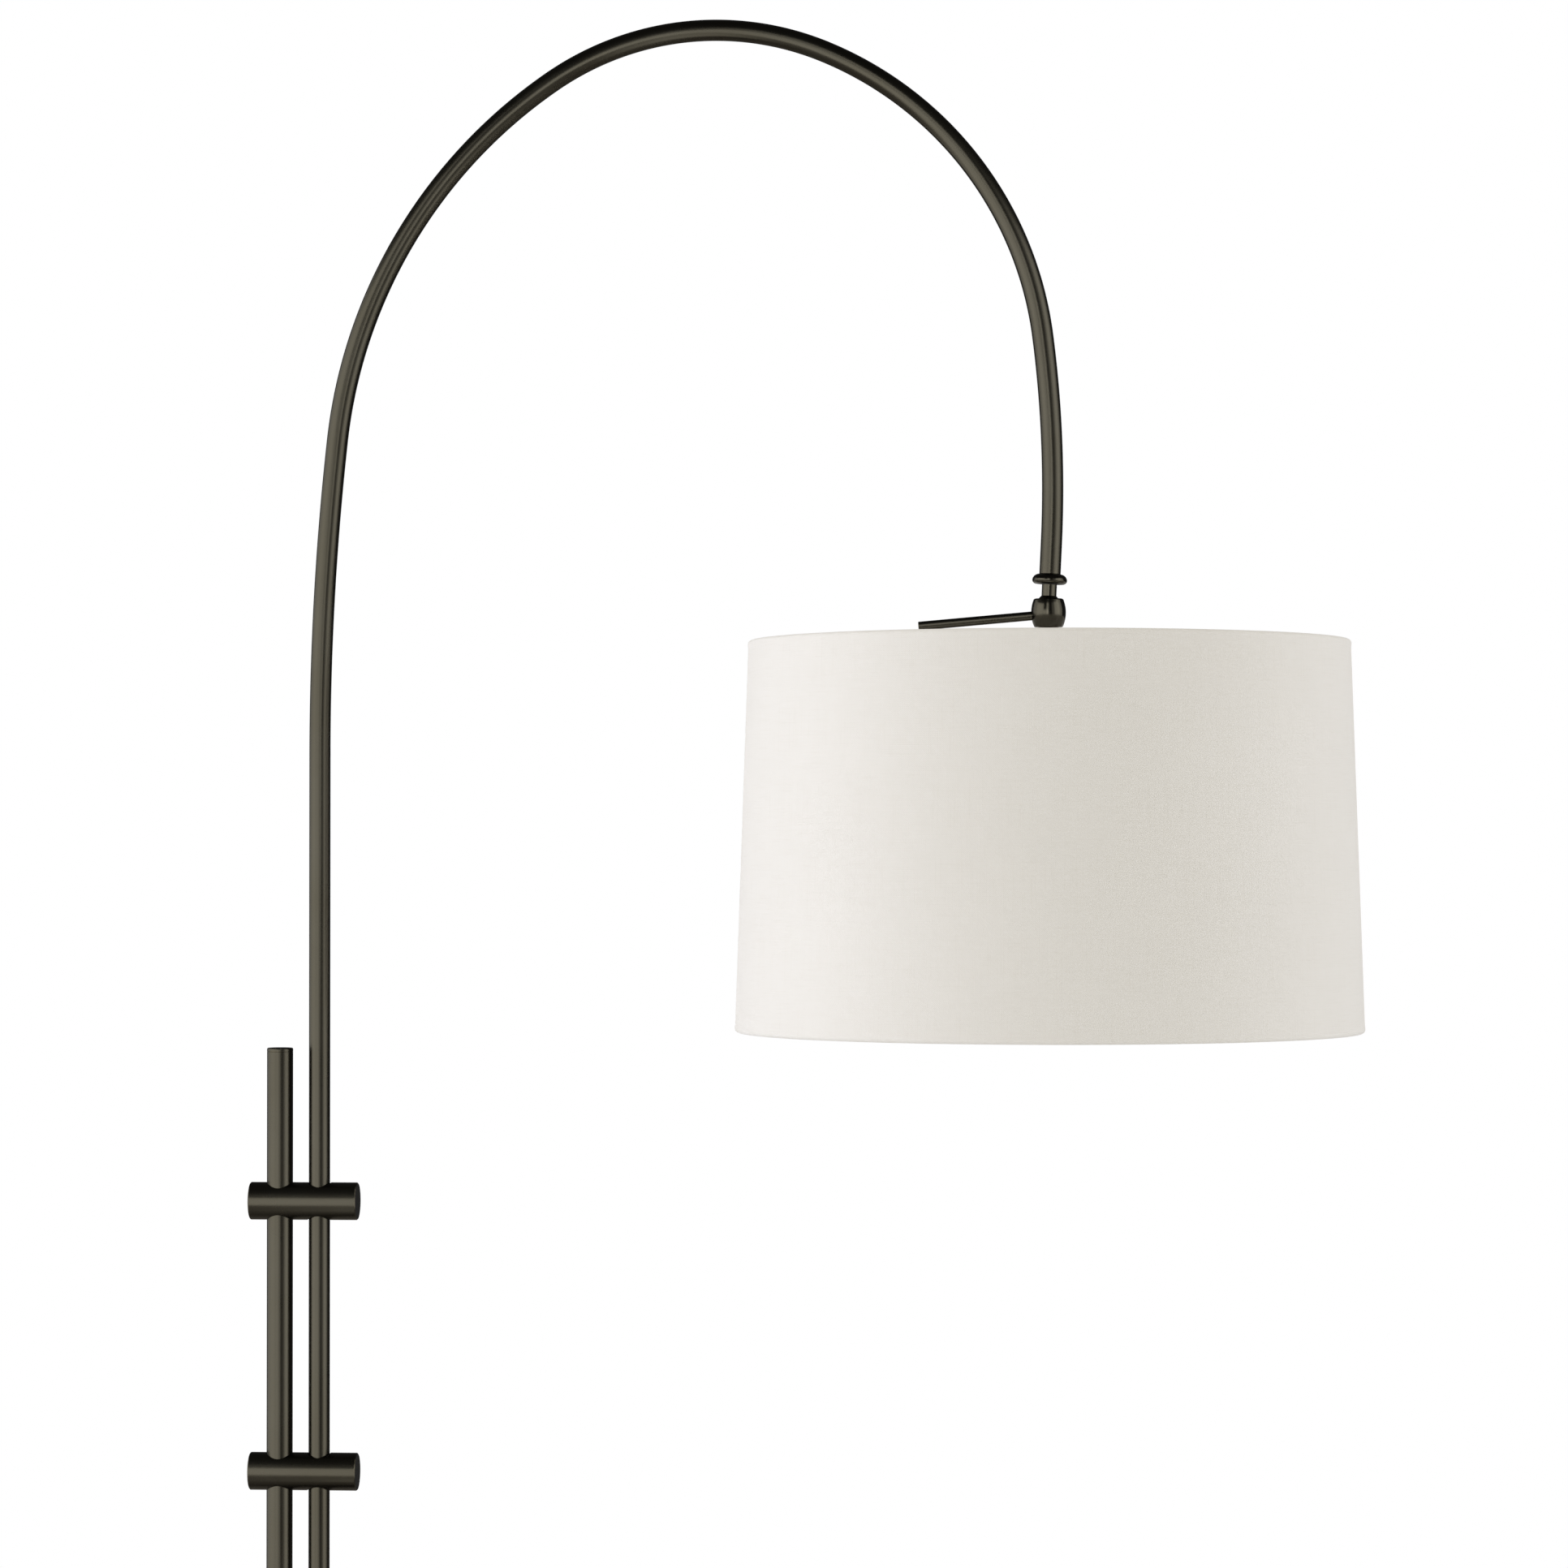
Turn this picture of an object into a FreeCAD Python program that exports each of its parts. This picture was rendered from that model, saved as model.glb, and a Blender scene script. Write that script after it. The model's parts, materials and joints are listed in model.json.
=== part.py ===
"""Arc floor lamp: a round weighted foot, a straight post, two cross bars that carry a sliding arched
arm beside the post, and a drum shade on a ball joint at the arm's end.

Millimetres, +Z up. The origin is where the post's axis meets the floor, and the arm reaches along +X.
Each sub-part is written to parts/NAME.step as one node.
"""

import FreeCAD, Part
import math
import os

from FreeCAD import Vector

# ---------------------------------------------------------------- driving dimensions
FIT = 0.05                 # radial clearance of a running or push fit
FACE_PLAY = 0.02           # running gap between two faces that turn on each other

# foot
FOOT_R = 178.0
FOOT_EDGE_Z = 26.0         # top of the foot at its rounded edge
FOOT_TOP_Z = 33.0          # top of the foot at the post
FOOT_EDGE_ROUND = 10.0
FOOT_FLAT_R = 26.0         # flat seat for the post
FOOT_CROWN = 1.0           # rise of the crown above a straight cone
SHEET_T = 1.5
FELT_R = 172.0
FELT_T = 3.0
WEIGHT_R = 175.0
WEIGHT_TOP_Z = 22.0
WEIGHT_BOSS_R = 36.0
NUT_POCKET_R = 32.0
NUT_POCKET_Z = 19.0
STUD_R = 5.0
STUD_HOLE_R = 5.5
STUD_L = 54.0

# post
POST_R = 11.1
POST_WALL = 1.6
POST_TOP_Z = 1260.5
CAP_T = 3.0                # visible head of the post cap
CAP_CHAMFER = 1.2

# cross bars
BAR_R = 16.0
BAR_LEFT_X = -25.2
BAR_RIGHT_X = 67.0
BAR_CHAMFER = 0.8
UPPER_BAR_Z = 1130.0
LOWER_BAR_Z = 900.0
BAR_HEIGHTS = {"upper": UPPER_BAR_Z, "lower": LOWER_BAR_Z}
SET_SCREW_R = 2.5
THUMBSCREW_R = 3.0
KNOB_R = 9.0
KNOB_FLUTES = 20
FLUTE_R = 0.9

# arm: a straight run, five tangent bends, and a short straight end
ARM_X = 34.0
ARM_R = 9.0
ARM_WALL = 1.5
ARM_LOW_Z = 780.0
ARM_BEND_Z = 1511.0        # where the bending begins
ARM_BENDS = [(2440.0, 6.3), (424.0, 49.8), (245.0, 56.8), (306.0, 59.7), (1000.0, 10.1)]
ARM_END_RUN = 26.0
LINER_T = 1.2
LINER_HALF_L = 11.8
TUBE_BORE_R = ARM_R - ARM_WALL

# fittings at the arm's end, measured down the arm's axis from the end of the tube
COLLAR_R = 14.6
COLLAR_H = 8.4
COLLAR_WIDEST = 4.3        # depth of its widest point
WASHER_T = 0.6
NECK_R = 6.3
SHANK_R = 4.0
LEAD_BORE_R = 2.9
BALL_R = 10.0
BALL_DROP = 26.2           # tube end to ball centre
PLUG_H = 14.0

# ball housing, measured from the ball's centre
BARREL_TOP = 5.5
BARREL_MID = -5.7
BARREL_BOTTOM = -18.6
BARREL_TOP_R = 12.9
BARREL_MID_R = 14.65
BARREL_BOTTOM_R = 12.2
BARREL_BORE_R = 10.1
BARREL_SHOULDER = 1.6      # rounding of its upper edge
SEAT_BOTTOM = -11.5
NIPPLE_R = 4.9
NIPPLE_BORE_R = 3.4
NIPPLE_GRIP = 4.0          # how far it screws up into the ball housing

# handle
HANDLE_R = 3.8
HANDLE_REACH = 109.9       # ball axis to the handle's tip
HANDLE_DROP = -9.1         # height of its axis at the barrel's face
HANDLE_RAKE = 5.0          # degrees below level

# shade
SHADE_TOP_R = 254.0
SHADE_BOTTOM_R = 265.0
SHADE_H = 330.0
SHADE_TOP_DROP = 30.2      # ball centre to the shade's top edge
FABRIC_T = 0.8
LINER_SHEET_T = 0.8
RIM_WIRE_R = 1.5
ROLL_R = 3.2               # outside radius of the cloth rolled over a rim wire
TUCK_H = 9.0               # cloth turned in behind the rim wire
NOTCH_W = 7.0              # gap in the tuck at each spider arm
SPIDER_ARM_R = 1.8
SPIDER_HUB_R = 15.0
SPIDER_HUB_T = 3.6
SPIDER_DROP = 10.0         # rim edge down to the hub

# lamp holder and bulb, measured down from the spider hub
HOLDER_CAP_R = 18.0
HOLDER_CAP_H = 15.0
HOLDER_CAP_T = 0.9
HOLDER_SHOULDER = 5.5      # rounding of the cap's top edge
HOLDER_R = 17.0
HOLDER_SHEET_T = 0.6
SHELL_TOP = 9.0
SHELL_BEAD = 41.0          # depth of the bead round the shell
SHELL_LIP = 50.0
SLEEVE_R = 16.3
SLEEVE_T = 0.7
CORE_TOP = 10.0
CORE_R = 15.4
CORE_BOTTOM = 26.0
SCREW_SHELL_R = 13.9
SCREW_SHELL_T = 0.5
SCREW_SHELL_BOTTOM = 49.0
SWITCH_DROP = 19.0
SWITCH_SHAFT_R = 2.0
SWITCH_KNOB_R = 7.0
SWITCH_KNOB_RIBS = 12
BULB_CAP_R = 13.0
BULB_CAP_T = 0.8
BULB_CAP_TOP = 28.6
BULB_CAP_BOTTOM = 51.0
BULB_NECK_R = 12.1
BULB_NECK_TOP = 38.0
BULB_R = 30.0
BULB_CENTRE = 103.0
BULB_JOIN = 21.0           # from the globe's centre up to where the neck's flare meets it
GLASS_T = 0.8

LEAD_R = 1.0
LEAD_OFFSET = 1.6

OUT = "parts"
UP = Vector(0, 0, 1)
ACROSS = Vector(0, 1, 0)
ALONG = Vector(1, 0, 0)


# ---------------------------------------------------------------- helpers
def turned(profile):
    """Revolves a closed (r, z) outline about Z. An item ((r, z), (r, z)) is an arc: its middle and its end."""
    points = [item[1] if isinstance(item[0], tuple) else item for item in profile]
    edges = []
    for i, item in enumerate(profile):
        start = points[i - 1]
        a = Vector(start[0], 0, start[1])
        b = Vector(points[i][0], 0, points[i][1])
        if isinstance(item[0], tuple):
            middle = Vector(item[0][0], 0, item[0][1])
            edges.append(Part.Arc(a, middle, b).toShape())
        elif a.distanceToPoint(b) > 1e-6:
            edges.append(Part.LineSegment(a, b).toShape())
    face = Part.Face(Part.Wire(edges))
    return face.revolve(Vector(0, 0, 0), UP, 360)


def cylinder(radius, start, length, axis=UP):
    return Part.makeCylinder(radius, length, start, axis)


def ring(outer_r, inner_r, low_z, high_z):
    """A plain ring on the Z axis."""
    body = cylinder(outer_r, Vector(0, 0, low_z), high_z - low_z)
    return body.cut(cylinder(inner_r, Vector(0, 0, low_z - 1), high_z - low_z + 2))


def hexagon_bar(across_flats, low_z, high_z):
    """A hexagonal bar on the Z axis."""
    corner = across_flats / math.sqrt(3)
    angles = [math.radians(a) for a in range(0, 361, 60)]
    outline = Part.makePolygon([Vector(corner * math.cos(a), corner * math.sin(a), low_z) for a in angles])
    return Part.Face(outline).extrude(Vector(0, 0, high_z - low_z))


def hexagon_nut(across_flats, low_z, high_z, hole_r):
    hole = cylinder(hole_r, Vector(0, 0, low_z - 1), high_z - low_z + 2)
    return hexagon_bar(across_flats, low_z, high_z).cut(hole)


def moved(shape, x=0.0, y=0.0, z=0.0):
    shape = shape.copy()
    shape.translate(Vector(x, y, z))
    return shape


def fused(shapes):
    """One solid from shapes that touch or overlap."""
    whole = shapes[0].multiFuse(shapes[1:]) if len(shapes) > 1 else shapes[0]
    return whole.removeSplitter()


def chamfered_rod(radius, start, length, axis, chamfer):
    """A rod with both ends chamfered."""
    rod = cylinder(radius, start, length, axis)
    ends = [e for e in rod.Edges if abs(e.Length - 2 * math.pi * radius) < 1e-3 and e.Closed]
    return rod.makeChamfer(chamfer, ends)


def arm_runs():
    """The arm's centreline as (kind, start, heading, size): a heading in degrees above +X, in the XZ plane."""
    x, z, heading = ARM_X, ARM_BEND_Z, 90.0
    runs = [("straight", Vector(ARM_X, 0, ARM_LOW_Z), 90.0, (ARM_BEND_Z - ARM_LOW_Z, 0.0))]
    for radius, sweep in ARM_BENDS:
        runs.append(("bend", Vector(x, 0, z), heading, (radius, sweep)))
        before = math.radians(heading)
        after = math.radians(heading - sweep)
        x += radius * (math.sin(before) - math.sin(after))
        z += radius * (math.cos(after) - math.cos(before))
        heading -= sweep
    runs.append(("straight", Vector(x, 0, z), heading, (ARM_END_RUN, 0.0)))
    return runs


def direction(heading):
    angle = math.radians(heading)
    return Vector(math.cos(angle), 0, math.sin(angle))


def piped(runs, outer_r, inner_r=0.0, offset_y=0.0):
    """A tube or rod along the runs, each one a cylinder or a piece of a torus."""
    pieces = []
    for kind, start, heading, size in runs:
        start = start + Vector(0, offset_y, 0)
        ahead = direction(heading)
        disc = Part.Face(Part.Wire(Part.makeCircle(outer_r, start, ahead)))
        if inner_r:
            disc = disc.cut(Part.Face(Part.Wire(Part.makeCircle(inner_r, start, ahead))))
        if kind == "straight":
            pieces.append(disc.extrude(ahead * size[0]))
        else:
            radius, sweep = size
            centre = start + direction(heading - 90) * radius
            pieces.append(disc.revolve(centre, ACROSS, sweep))
    solids = [p.Solids[0] for p in pieces]
    return fused(solids)


RUNS = arm_runs()
LAST_START, LAST_HEADING = RUNS[-1][1], RUNS[-1][2]
TUBE_END = LAST_START + direction(LAST_HEADING) * ARM_END_RUN
LEAN = -LAST_HEADING - 90.0        # degrees by which the arm's end leans past plumb
BALL = TUBE_END + direction(LAST_HEADING) * BALL_DROP
SHADE_TOP_Z = BALL.z - SHADE_TOP_DROP
SHADE_BOTTOM_Z = SHADE_TOP_Z - SHADE_H
HUB_Z = SHADE_TOP_Z - SPIDER_DROP  # top face of the spider hub


def at_arm_end(shape):
    """Puts a shape made plumb about Z, with the tube's end at zero, on the arm's leaning end."""
    shape = shape.copy()
    shape.rotate(Vector(0, 0, 0), ACROSS, LEAN)
    shape.translate(TUBE_END)
    return shape


def at_ball(shape):
    """Puts a shape made about Z, with the ball's centre at zero, under the arm."""
    return moved(shape, BALL.x, 0, BALL.z)


# ---------------------------------------------------------------- foot and post
def foot_shell():
    inner_edge = FOOT_EDGE_ROUND - SHEET_T
    corner_r = FOOT_R - FOOT_EDGE_ROUND
    corner_z = FOOT_EDGE_Z - FOOT_EDGE_ROUND
    half = math.sqrt(0.5)
    crown_r = (FOOT_FLAT_R + corner_r) / 2
    crown_z = (FOOT_TOP_Z + FOOT_EDGE_Z) / 2 + FOOT_CROWN
    skirt_z = FELT_T - 0.5
    return turned([
        (STUD_HOLE_R, FOOT_TOP_Z),
        (FOOT_FLAT_R, FOOT_TOP_Z),
        ((crown_r, crown_z), (corner_r, FOOT_EDGE_Z)),
        ((corner_r + FOOT_EDGE_ROUND * half, corner_z + FOOT_EDGE_ROUND * half), (FOOT_R, corner_z)),
        (FOOT_R, skirt_z),
        (FOOT_R - SHEET_T, skirt_z),
        (FOOT_R - SHEET_T, corner_z),
        ((corner_r + inner_edge * half, corner_z + inner_edge * half), (corner_r, FOOT_EDGE_Z - SHEET_T)),
        ((crown_r, crown_z - SHEET_T), (FOOT_FLAT_R, FOOT_TOP_Z - SHEET_T)),
        (STUD_HOLE_R, FOOT_TOP_Z - SHEET_T),
    ])


def foot_weight():
    """Cast disc with a boss up to the shell and a pocket for the nut."""
    return turned([
        (STUD_HOLE_R, FOOT_TOP_Z - SHEET_T),
        (WEIGHT_BOSS_R - 12, FOOT_TOP_Z - SHEET_T),
        (WEIGHT_BOSS_R, WEIGHT_TOP_Z),
        (WEIGHT_R - 10, WEIGHT_TOP_Z),
        (WEIGHT_R, WEIGHT_TOP_Z - 8),
        (WEIGHT_R, FELT_T),
        (NUT_POCKET_R, FELT_T),
        (NUT_POCKET_R, NUT_POCKET_Z),
        (STUD_HOLE_R, NUT_POCKET_Z),
    ])


def foot_fasteners():
    washer_z = NUT_POCKET_Z - 3
    spring_z = washer_z - 2.2
    nut_z = spring_z - 8
    return {
        "foot_washer": ring(20, STUD_R + 0.3, washer_z, NUT_POCKET_Z),
        "foot_spring_washer": ring(9, STUD_R + 0.2, spring_z, washer_z),
        "foot_nut": hexagon_nut(17, nut_z, spring_z, STUD_R + FIT),
        "foot_stud": cylinder(STUD_R, Vector(0, 0, nut_z - 1.5), STUD_L),
    }


def post_collar():
    """Turned ring that hides the joint between the post and the foot."""
    low, high = FOOT_TOP_Z, FOOT_TOP_Z + 13
    return turned([
        (POST_R + FIT, low),
        (23, low),
        (23, low + 3),
        ((16.8, low + 5.8), (14, high - 1)),
        (13, high),
        (POST_R + FIT, high),
    ])


def post_plug():
    """Tapped plug in the foot of the post, where the stud ends."""
    plug_r = POST_R - POST_WALL - FIT
    plug = cylinder(plug_r, Vector(0, 0, FOOT_TOP_Z), 34)
    return plug.cut(cylinder(STUD_R + FIT, Vector(0, 0, FOOT_TOP_Z - 1), 28))


def post_cap():
    bore_r = POST_R - POST_WALL
    seat_z = POST_TOP_Z - CAP_T
    return turned([
        (0, seat_z - 12),
        (bore_r - FIT, seat_z - 12),
        (bore_r - FIT, seat_z),
        (POST_R, seat_z),
        (POST_R, POST_TOP_Z - CAP_CHAMFER),
        ((POST_R - 0.3 * CAP_CHAMFER, POST_TOP_Z - 0.3 * CAP_CHAMFER), (POST_R - CAP_CHAMFER, POST_TOP_Z)),
        (0, POST_TOP_Z),
    ])


# ---------------------------------------------------------------- cross bars and their screws
def cross_bar(height):
    bar = chamfered_rod(BAR_R, Vector(BAR_LEFT_X, 0, height), BAR_RIGHT_X - BAR_LEFT_X, ALONG, BAR_CHAMFER)
    low = Vector(0, 0, height - 2 * BAR_R)
    bar = bar.cut(cylinder(POST_R + FIT, low, 4 * BAR_R))
    bar = bar.cut(cylinder(ARM_R + FIT + LINER_T + FIT, low + Vector(ARM_X, 0, 0), 4 * BAR_R))
    bar = bar.cut(cylinder(SET_SCREW_R + FIT, Vector(0, 0, height), 2 * BAR_R, ACROSS))
    return bar.cut(cylinder(THUMBSCREW_R + FIT, Vector(ARM_X, 0, height), 2 * BAR_R, ACROSS))


def arm_liner(height):
    """Nylon sleeve in which the arm slides, and which turns in the bar."""
    inner = ARM_R + FIT
    return moved(ring(inner + LINER_T, inner, -LINER_HALF_L, LINER_HALF_L), ARM_X, 0, height)


def set_screw(height):
    """Socket set screw that holds a bar on the post, sunk just below the bar's back."""
    tip = POST_R + FIT
    head = BAR_R - 0.6
    screw = cylinder(SET_SCREW_R, Vector(0, 0, tip), head - tip)
    screw = screw.cut(hexagon_bar(2.5, head - 2.5, head + 1))
    screw.rotate(Vector(0, 0, 0), ALONG, -90)
    return moved(screw, 0, 0, height)


def thumbscrew(height):
    """Fluted knob on a threaded shank; its tip bears on the arm's liner."""
    tip = ARM_R + LINER_T + 3 * FIT
    collar_y, knob_y, end_y = BAR_R + 0.4, BAR_R + 3.4, BAR_R + 14.0
    body = turned([
        (0, tip),
        (THUMBSCREW_R, tip),
        (THUMBSCREW_R, collar_y),
        (5.5, collar_y),
        (5.5, knob_y - 1),
        (KNOB_R - 1, knob_y),
        (KNOB_R, knob_y + 1),
        (KNOB_R, end_y - 2),
        ((KNOB_R - 0.6, end_y - 0.6), (KNOB_R - 2, end_y)),
        (0, end_y),
    ])
    for i in range(KNOB_FLUTES):
        angle = 2 * math.pi * i / KNOB_FLUTES
        at = Vector((KNOB_R + 0.35) * math.cos(angle), (KNOB_R + 0.35) * math.sin(angle), knob_y - 1)
        body = body.cut(cylinder(FLUTE_R, at, end_y - knob_y + 3))
    body.rotate(Vector(0, 0, 0), ALONG, -90)
    return moved(body, ARM_X, 0, height)


# ---------------------------------------------------------------- arm and its end fittings
def arm_end_bush():
    """Rubber bush in the arm's lower end, where the supply cord enters. Its flange stops the arm's rise."""
    return moved(turned([
        (3.5, -3),
        (9.5, -3),
        ((10.2, -2.7), (10.5, -2)),
        (10.5, -0.6),
        (9.9, 0),
        (TUBE_BORE_R - FIT, 0),
        (TUBE_BORE_R - FIT, 13),
        (TUBE_BORE_R - 1, 14),
        (3.5, 14),
    ]), ARM_X, 0, ARM_LOW_Z)


def collar():
    """Rounded bead that finishes the tube."""
    return at_arm_end(turned([
        (SHANK_R + FIT, 0),
        (ARM_R + 0.2, 0),
        ((12.9, -1.5), (COLLAR_R, -COLLAR_WIDEST)),
        ((COLLAR_R - 0.6, -7.2), (COLLAR_R - 2.6, -COLLAR_H)),
        (SHANK_R + FIT, -COLLAR_H),
    ]))


def stem():
    """Hollow swivel stem: a shank held in the tube's end, a neck, and the ball."""
    shoulder = -COLLAR_H - WASHER_T
    shank_top = PLUG_H + 7
    body = cylinder(SHANK_R, Vector(0, 0, shoulder), shank_top - shoulder)
    neck = cylinder(NECK_R, Vector(0, 0, -BALL_DROP), shoulder + BALL_DROP)
    ball = Part.makeSphere(BALL_R, Vector(0, 0, -BALL_DROP))
    whole = fused([body, neck, ball])
    bore_low = -BALL_DROP - BALL_R - 1
    return at_arm_end(whole.cut(cylinder(LEAD_BORE_R, Vector(0, 0, bore_low), shank_top - bore_low + 1)))


def arm_end_parts():
    washer_z = -COLLAR_H - WASHER_T
    nut_z = PLUG_H + 1
    return {
        "arm_end_plug": at_arm_end(ring(TUBE_BORE_R - FIT, SHANK_R + FIT, 0, PLUG_H)),
        "arm_end_collar": collar(),
        "swivel_washer": at_arm_end(ring(6.0, SHANK_R + FIT, washer_z, -COLLAR_H - FACE_PLAY)),
        "swivel_stem": stem(),
        "stem_spring_washer": at_arm_end(ring(6.2, SHANK_R + FIT, PLUG_H + FACE_PLAY, nut_z)),
        "stem_nut": at_arm_end(hexagon_nut(11, nut_z, nut_z + 5, SHANK_R + FIT)),
    }


def arm_leads():
    """Two insulated wires from the splices up through the tube into the stem."""
    first_top = ARM_LOW_Z + 62
    second_top = ARM_LOW_Z + 90
    leads = []
    for offset, low in ((LEAD_OFFSET, first_top), (-LEAD_OFFSET, second_top)):
        first = ("straight", Vector(ARM_X, 0, low), 90.0, (ARM_BEND_Z - low, 0.0))
        last = ("straight", LAST_START, LAST_HEADING, (ARM_END_RUN + BALL_DROP - 3, 0.0))
        leads.append(piped([first] + RUNS[1:-1] + [last], LEAD_R, 0.0, offset))
    return Part.makeCompound(leads)


def lead_splices():
    """Crimped splices that join the arm's wires to the supply cord, staggered to fit the tube."""
    length = 24.0
    tops = ((LEAD_OFFSET, ARM_LOW_Z + 62), (-LEAD_OFFSET, ARM_LOW_Z + 90))
    return Part.makeCompound([
        chamfered_rod(1.9, Vector(ARM_X, offset, top - length), length, UP, 0.5) for offset, top in tops])


# ---------------------------------------------------------------- ball housing and handle
def handle_axis():
    """A point on the barrel's face and the outward direction of the raked handle."""
    angle = math.radians(HANDLE_RAKE)
    return Vector(-BARREL_MID_R, 0, HANDLE_DROP), Vector(-math.cos(angle), 0, -math.sin(angle))


def barrel():
    outer = turned([
        (0, BARREL_BOTTOM),
        (BARREL_BOTTOM_R - 0.6, BARREL_BOTTOM),
        (BARREL_BOTTOM_R, BARREL_BOTTOM + 0.6),
        ((BARREL_MID_R, BARREL_MID), (BARREL_TOP_R, BARREL_TOP - BARREL_SHOULDER)),
        ((BARREL_TOP_R - 0.6, BARREL_TOP - 0.5), (BARREL_TOP_R - BARREL_SHOULDER, BARREL_TOP)),
        (0, BARREL_TOP),
    ])
    outer = outer.cut(Part.makeSphere(BALL_R + FIT))
    outer = outer.cut(cylinder(BARREL_BORE_R, Vector(0, 0, BARREL_BOTTOM - 1), -BARREL_BOTTOM + 1))
    face, outward = handle_axis()
    start = face - outward * 8
    return at_ball(outer.cut(cylinder(HANDLE_R + FIT, start, 12, outward)))


def handle():
    face, outward = handle_axis()
    start = face - outward * 3.0
    length = (HANDLE_REACH - BARREL_MID_R) / math.cos(math.radians(HANDLE_RAKE)) + 3.0
    return at_ball(chamfered_rod(HANDLE_R, start, length, outward, 0.4))


def barrel_inside():
    seat = ring(BARREL_BORE_R - FIT, 4.5, SEAT_BOTTOM, -4.0).cut(Part.makeSphere(BALL_R + FIT))
    spring = turned([
        (5.2, SEAT_BOTTOM - 1.2),
        (6.0, SEAT_BOTTOM - 1.2),
        (9.8, SEAT_BOTTOM - 0.5),
        (9.8, SEAT_BOTTOM),
        (9.0, SEAT_BOTTOM),
        (5.2, SEAT_BOTTOM - 0.7),
    ])
    plug_top = SEAT_BOTTOM - 1.2
    nipple_top = BARREL_BOTTOM + NIPPLE_GRIP + 0.1
    plug = turned([
        (NIPPLE_R + FIT, BARREL_BOTTOM),
        (BARREL_BORE_R - FIT, BARREL_BOTTOM),
        (BARREL_BORE_R - FIT, plug_top),
        (NIPPLE_BORE_R, plug_top),
        (NIPPLE_BORE_R, nipple_top),
        (NIPPLE_R + FIT, nipple_top),
    ])
    return {"ball_seat": at_ball(seat), "seat_spring": at_ball(spring), "barrel_plug": at_ball(plug)}


# ---------------------------------------------------------------- shade
def wall_r(z):
    """Outside radius of the shade at a height."""
    share = (SHADE_TOP_Z - z) / SHADE_H
    return SHADE_TOP_R + (SHADE_BOTTOM_R - SHADE_TOP_R) * share


TOP_WIRE = (SHADE_TOP_R - ROLL_R, SHADE_TOP_Z - ROLL_R)
BOTTOM_WIRE = (SHADE_BOTTOM_R - ROLL_R, SHADE_BOTTOM_Z + ROLL_R)
SPIDER_ANGLES = (90, 210, 330)


def on_shade_axis(shape):
    return moved(shape, BALL.x, 0, 0)


def spider_arm(radius, reach):
    """A straight wire from the hub out to the rim wire, along +X."""
    low = Vector(SPIDER_HUB_R - 2, 0, HUB_Z - SPIDER_HUB_T / 2)
    high = Vector(reach, 0, TOP_WIRE[1])
    return cylinder(radius, low, low.distanceToPoint(high), high - low)


def shade_spider():
    """Welded hub, three arms and the top rim wire."""
    hub = ring(SPIDER_HUB_R, NIPPLE_R + FIT, HUB_Z - SPIDER_HUB_T, HUB_Z)
    rim = Part.makeTorus(TOP_WIRE[0], RIM_WIRE_R, Vector(0, 0, TOP_WIRE[1]))
    arms = []
    for angle in SPIDER_ANGLES:
        arm = spider_arm(SPIDER_ARM_R, TOP_WIRE[0])
        arm.rotate(Vector(0, 0, 0), UP, angle)
        arms.append(arm)
    frame = fused([hub, rim] + arms)
    return on_shade_axis(frame.cut(cylinder(NIPPLE_R + FIT, Vector(0, 0, HUB_Z - 10), 20)))


def rolled_cloth():
    """The cloth wall with both edges rolled over the rim wires and tucked in behind them."""
    top_r, top_z = TOP_WIRE
    low_r, low_z = BOTTOM_WIRE
    inner = ROLL_R - FABRIC_T
    return turned([
        (SHADE_TOP_R, top_z),
        ((top_r, top_z + ROLL_R), (top_r - ROLL_R, top_z)),
        (top_r - ROLL_R, top_z - TUCK_H),
        (top_r - inner, top_z - TUCK_H),
        (top_r - inner, top_z),
        ((top_r, top_z + inner), (top_r + inner, top_z)),
        (low_r + inner, low_z),
        ((low_r, low_z - inner), (low_r - inner, low_z)),
        (low_r - inner, low_z + TUCK_H),
        (low_r - ROLL_R, low_z + TUCK_H),
        (low_r - ROLL_R, low_z),
        ((low_r, low_z - ROLL_R), (SHADE_BOTTOM_R, low_z)),
    ])


def shade_fabric():
    """Rolled cloth, notched where each spider arm passes its top tuck."""
    cloth = rolled_cloth()
    notch_h = 2 * TUCK_H
    corner = Vector(TOP_WIRE[0] - ROLL_R - 1.5, -NOTCH_W / 2, TOP_WIRE[1] + SPIDER_ARM_R + 0.5 - notch_h)
    for angle in SPIDER_ANGLES:
        notch = Part.makeBox(4, NOTCH_W, notch_h, corner)
        notch.rotate(Vector(0, 0, 0), UP, angle)
        cloth = cloth.cut(notch)
    return on_shade_axis(cloth)


def shade_liner():
    """Stiff sheet that the cloth is laminated to."""
    outer_top = TOP_WIRE[0] + ROLL_R - FABRIC_T - FIT
    outer_low = BOTTOM_WIRE[0] + ROLL_R - FABRIC_T - FIT
    return on_shade_axis(turned([
        (outer_top, TOP_WIRE[1]),
        (outer_low, BOTTOM_WIRE[1]),
        (outer_low - LINER_SHEET_T, BOTTOM_WIRE[1]),
        (outer_top - LINER_SHEET_T, TOP_WIRE[1]),
    ]))


def shade_bottom_wire():
    return on_shade_axis(Part.makeTorus(BOTTOM_WIRE[0], RIM_WIRE_R, Vector(0, 0, BOTTOM_WIRE[1])))


# ---------------------------------------------------------------- lamp holder, switch and bulb
def hung(profile):
    """Turns an (r, depth) outline whose depth is measured down from the spider hub's underside."""
    zero = HUB_Z - SPIDER_HUB_T

    def flipped(item):
        if isinstance(item[0], tuple):
            return tuple(flipped(p) for p in item)
        return (item[0], zero - item[1])

    return on_shade_axis(turned([flipped(item) for item in profile]))


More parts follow.
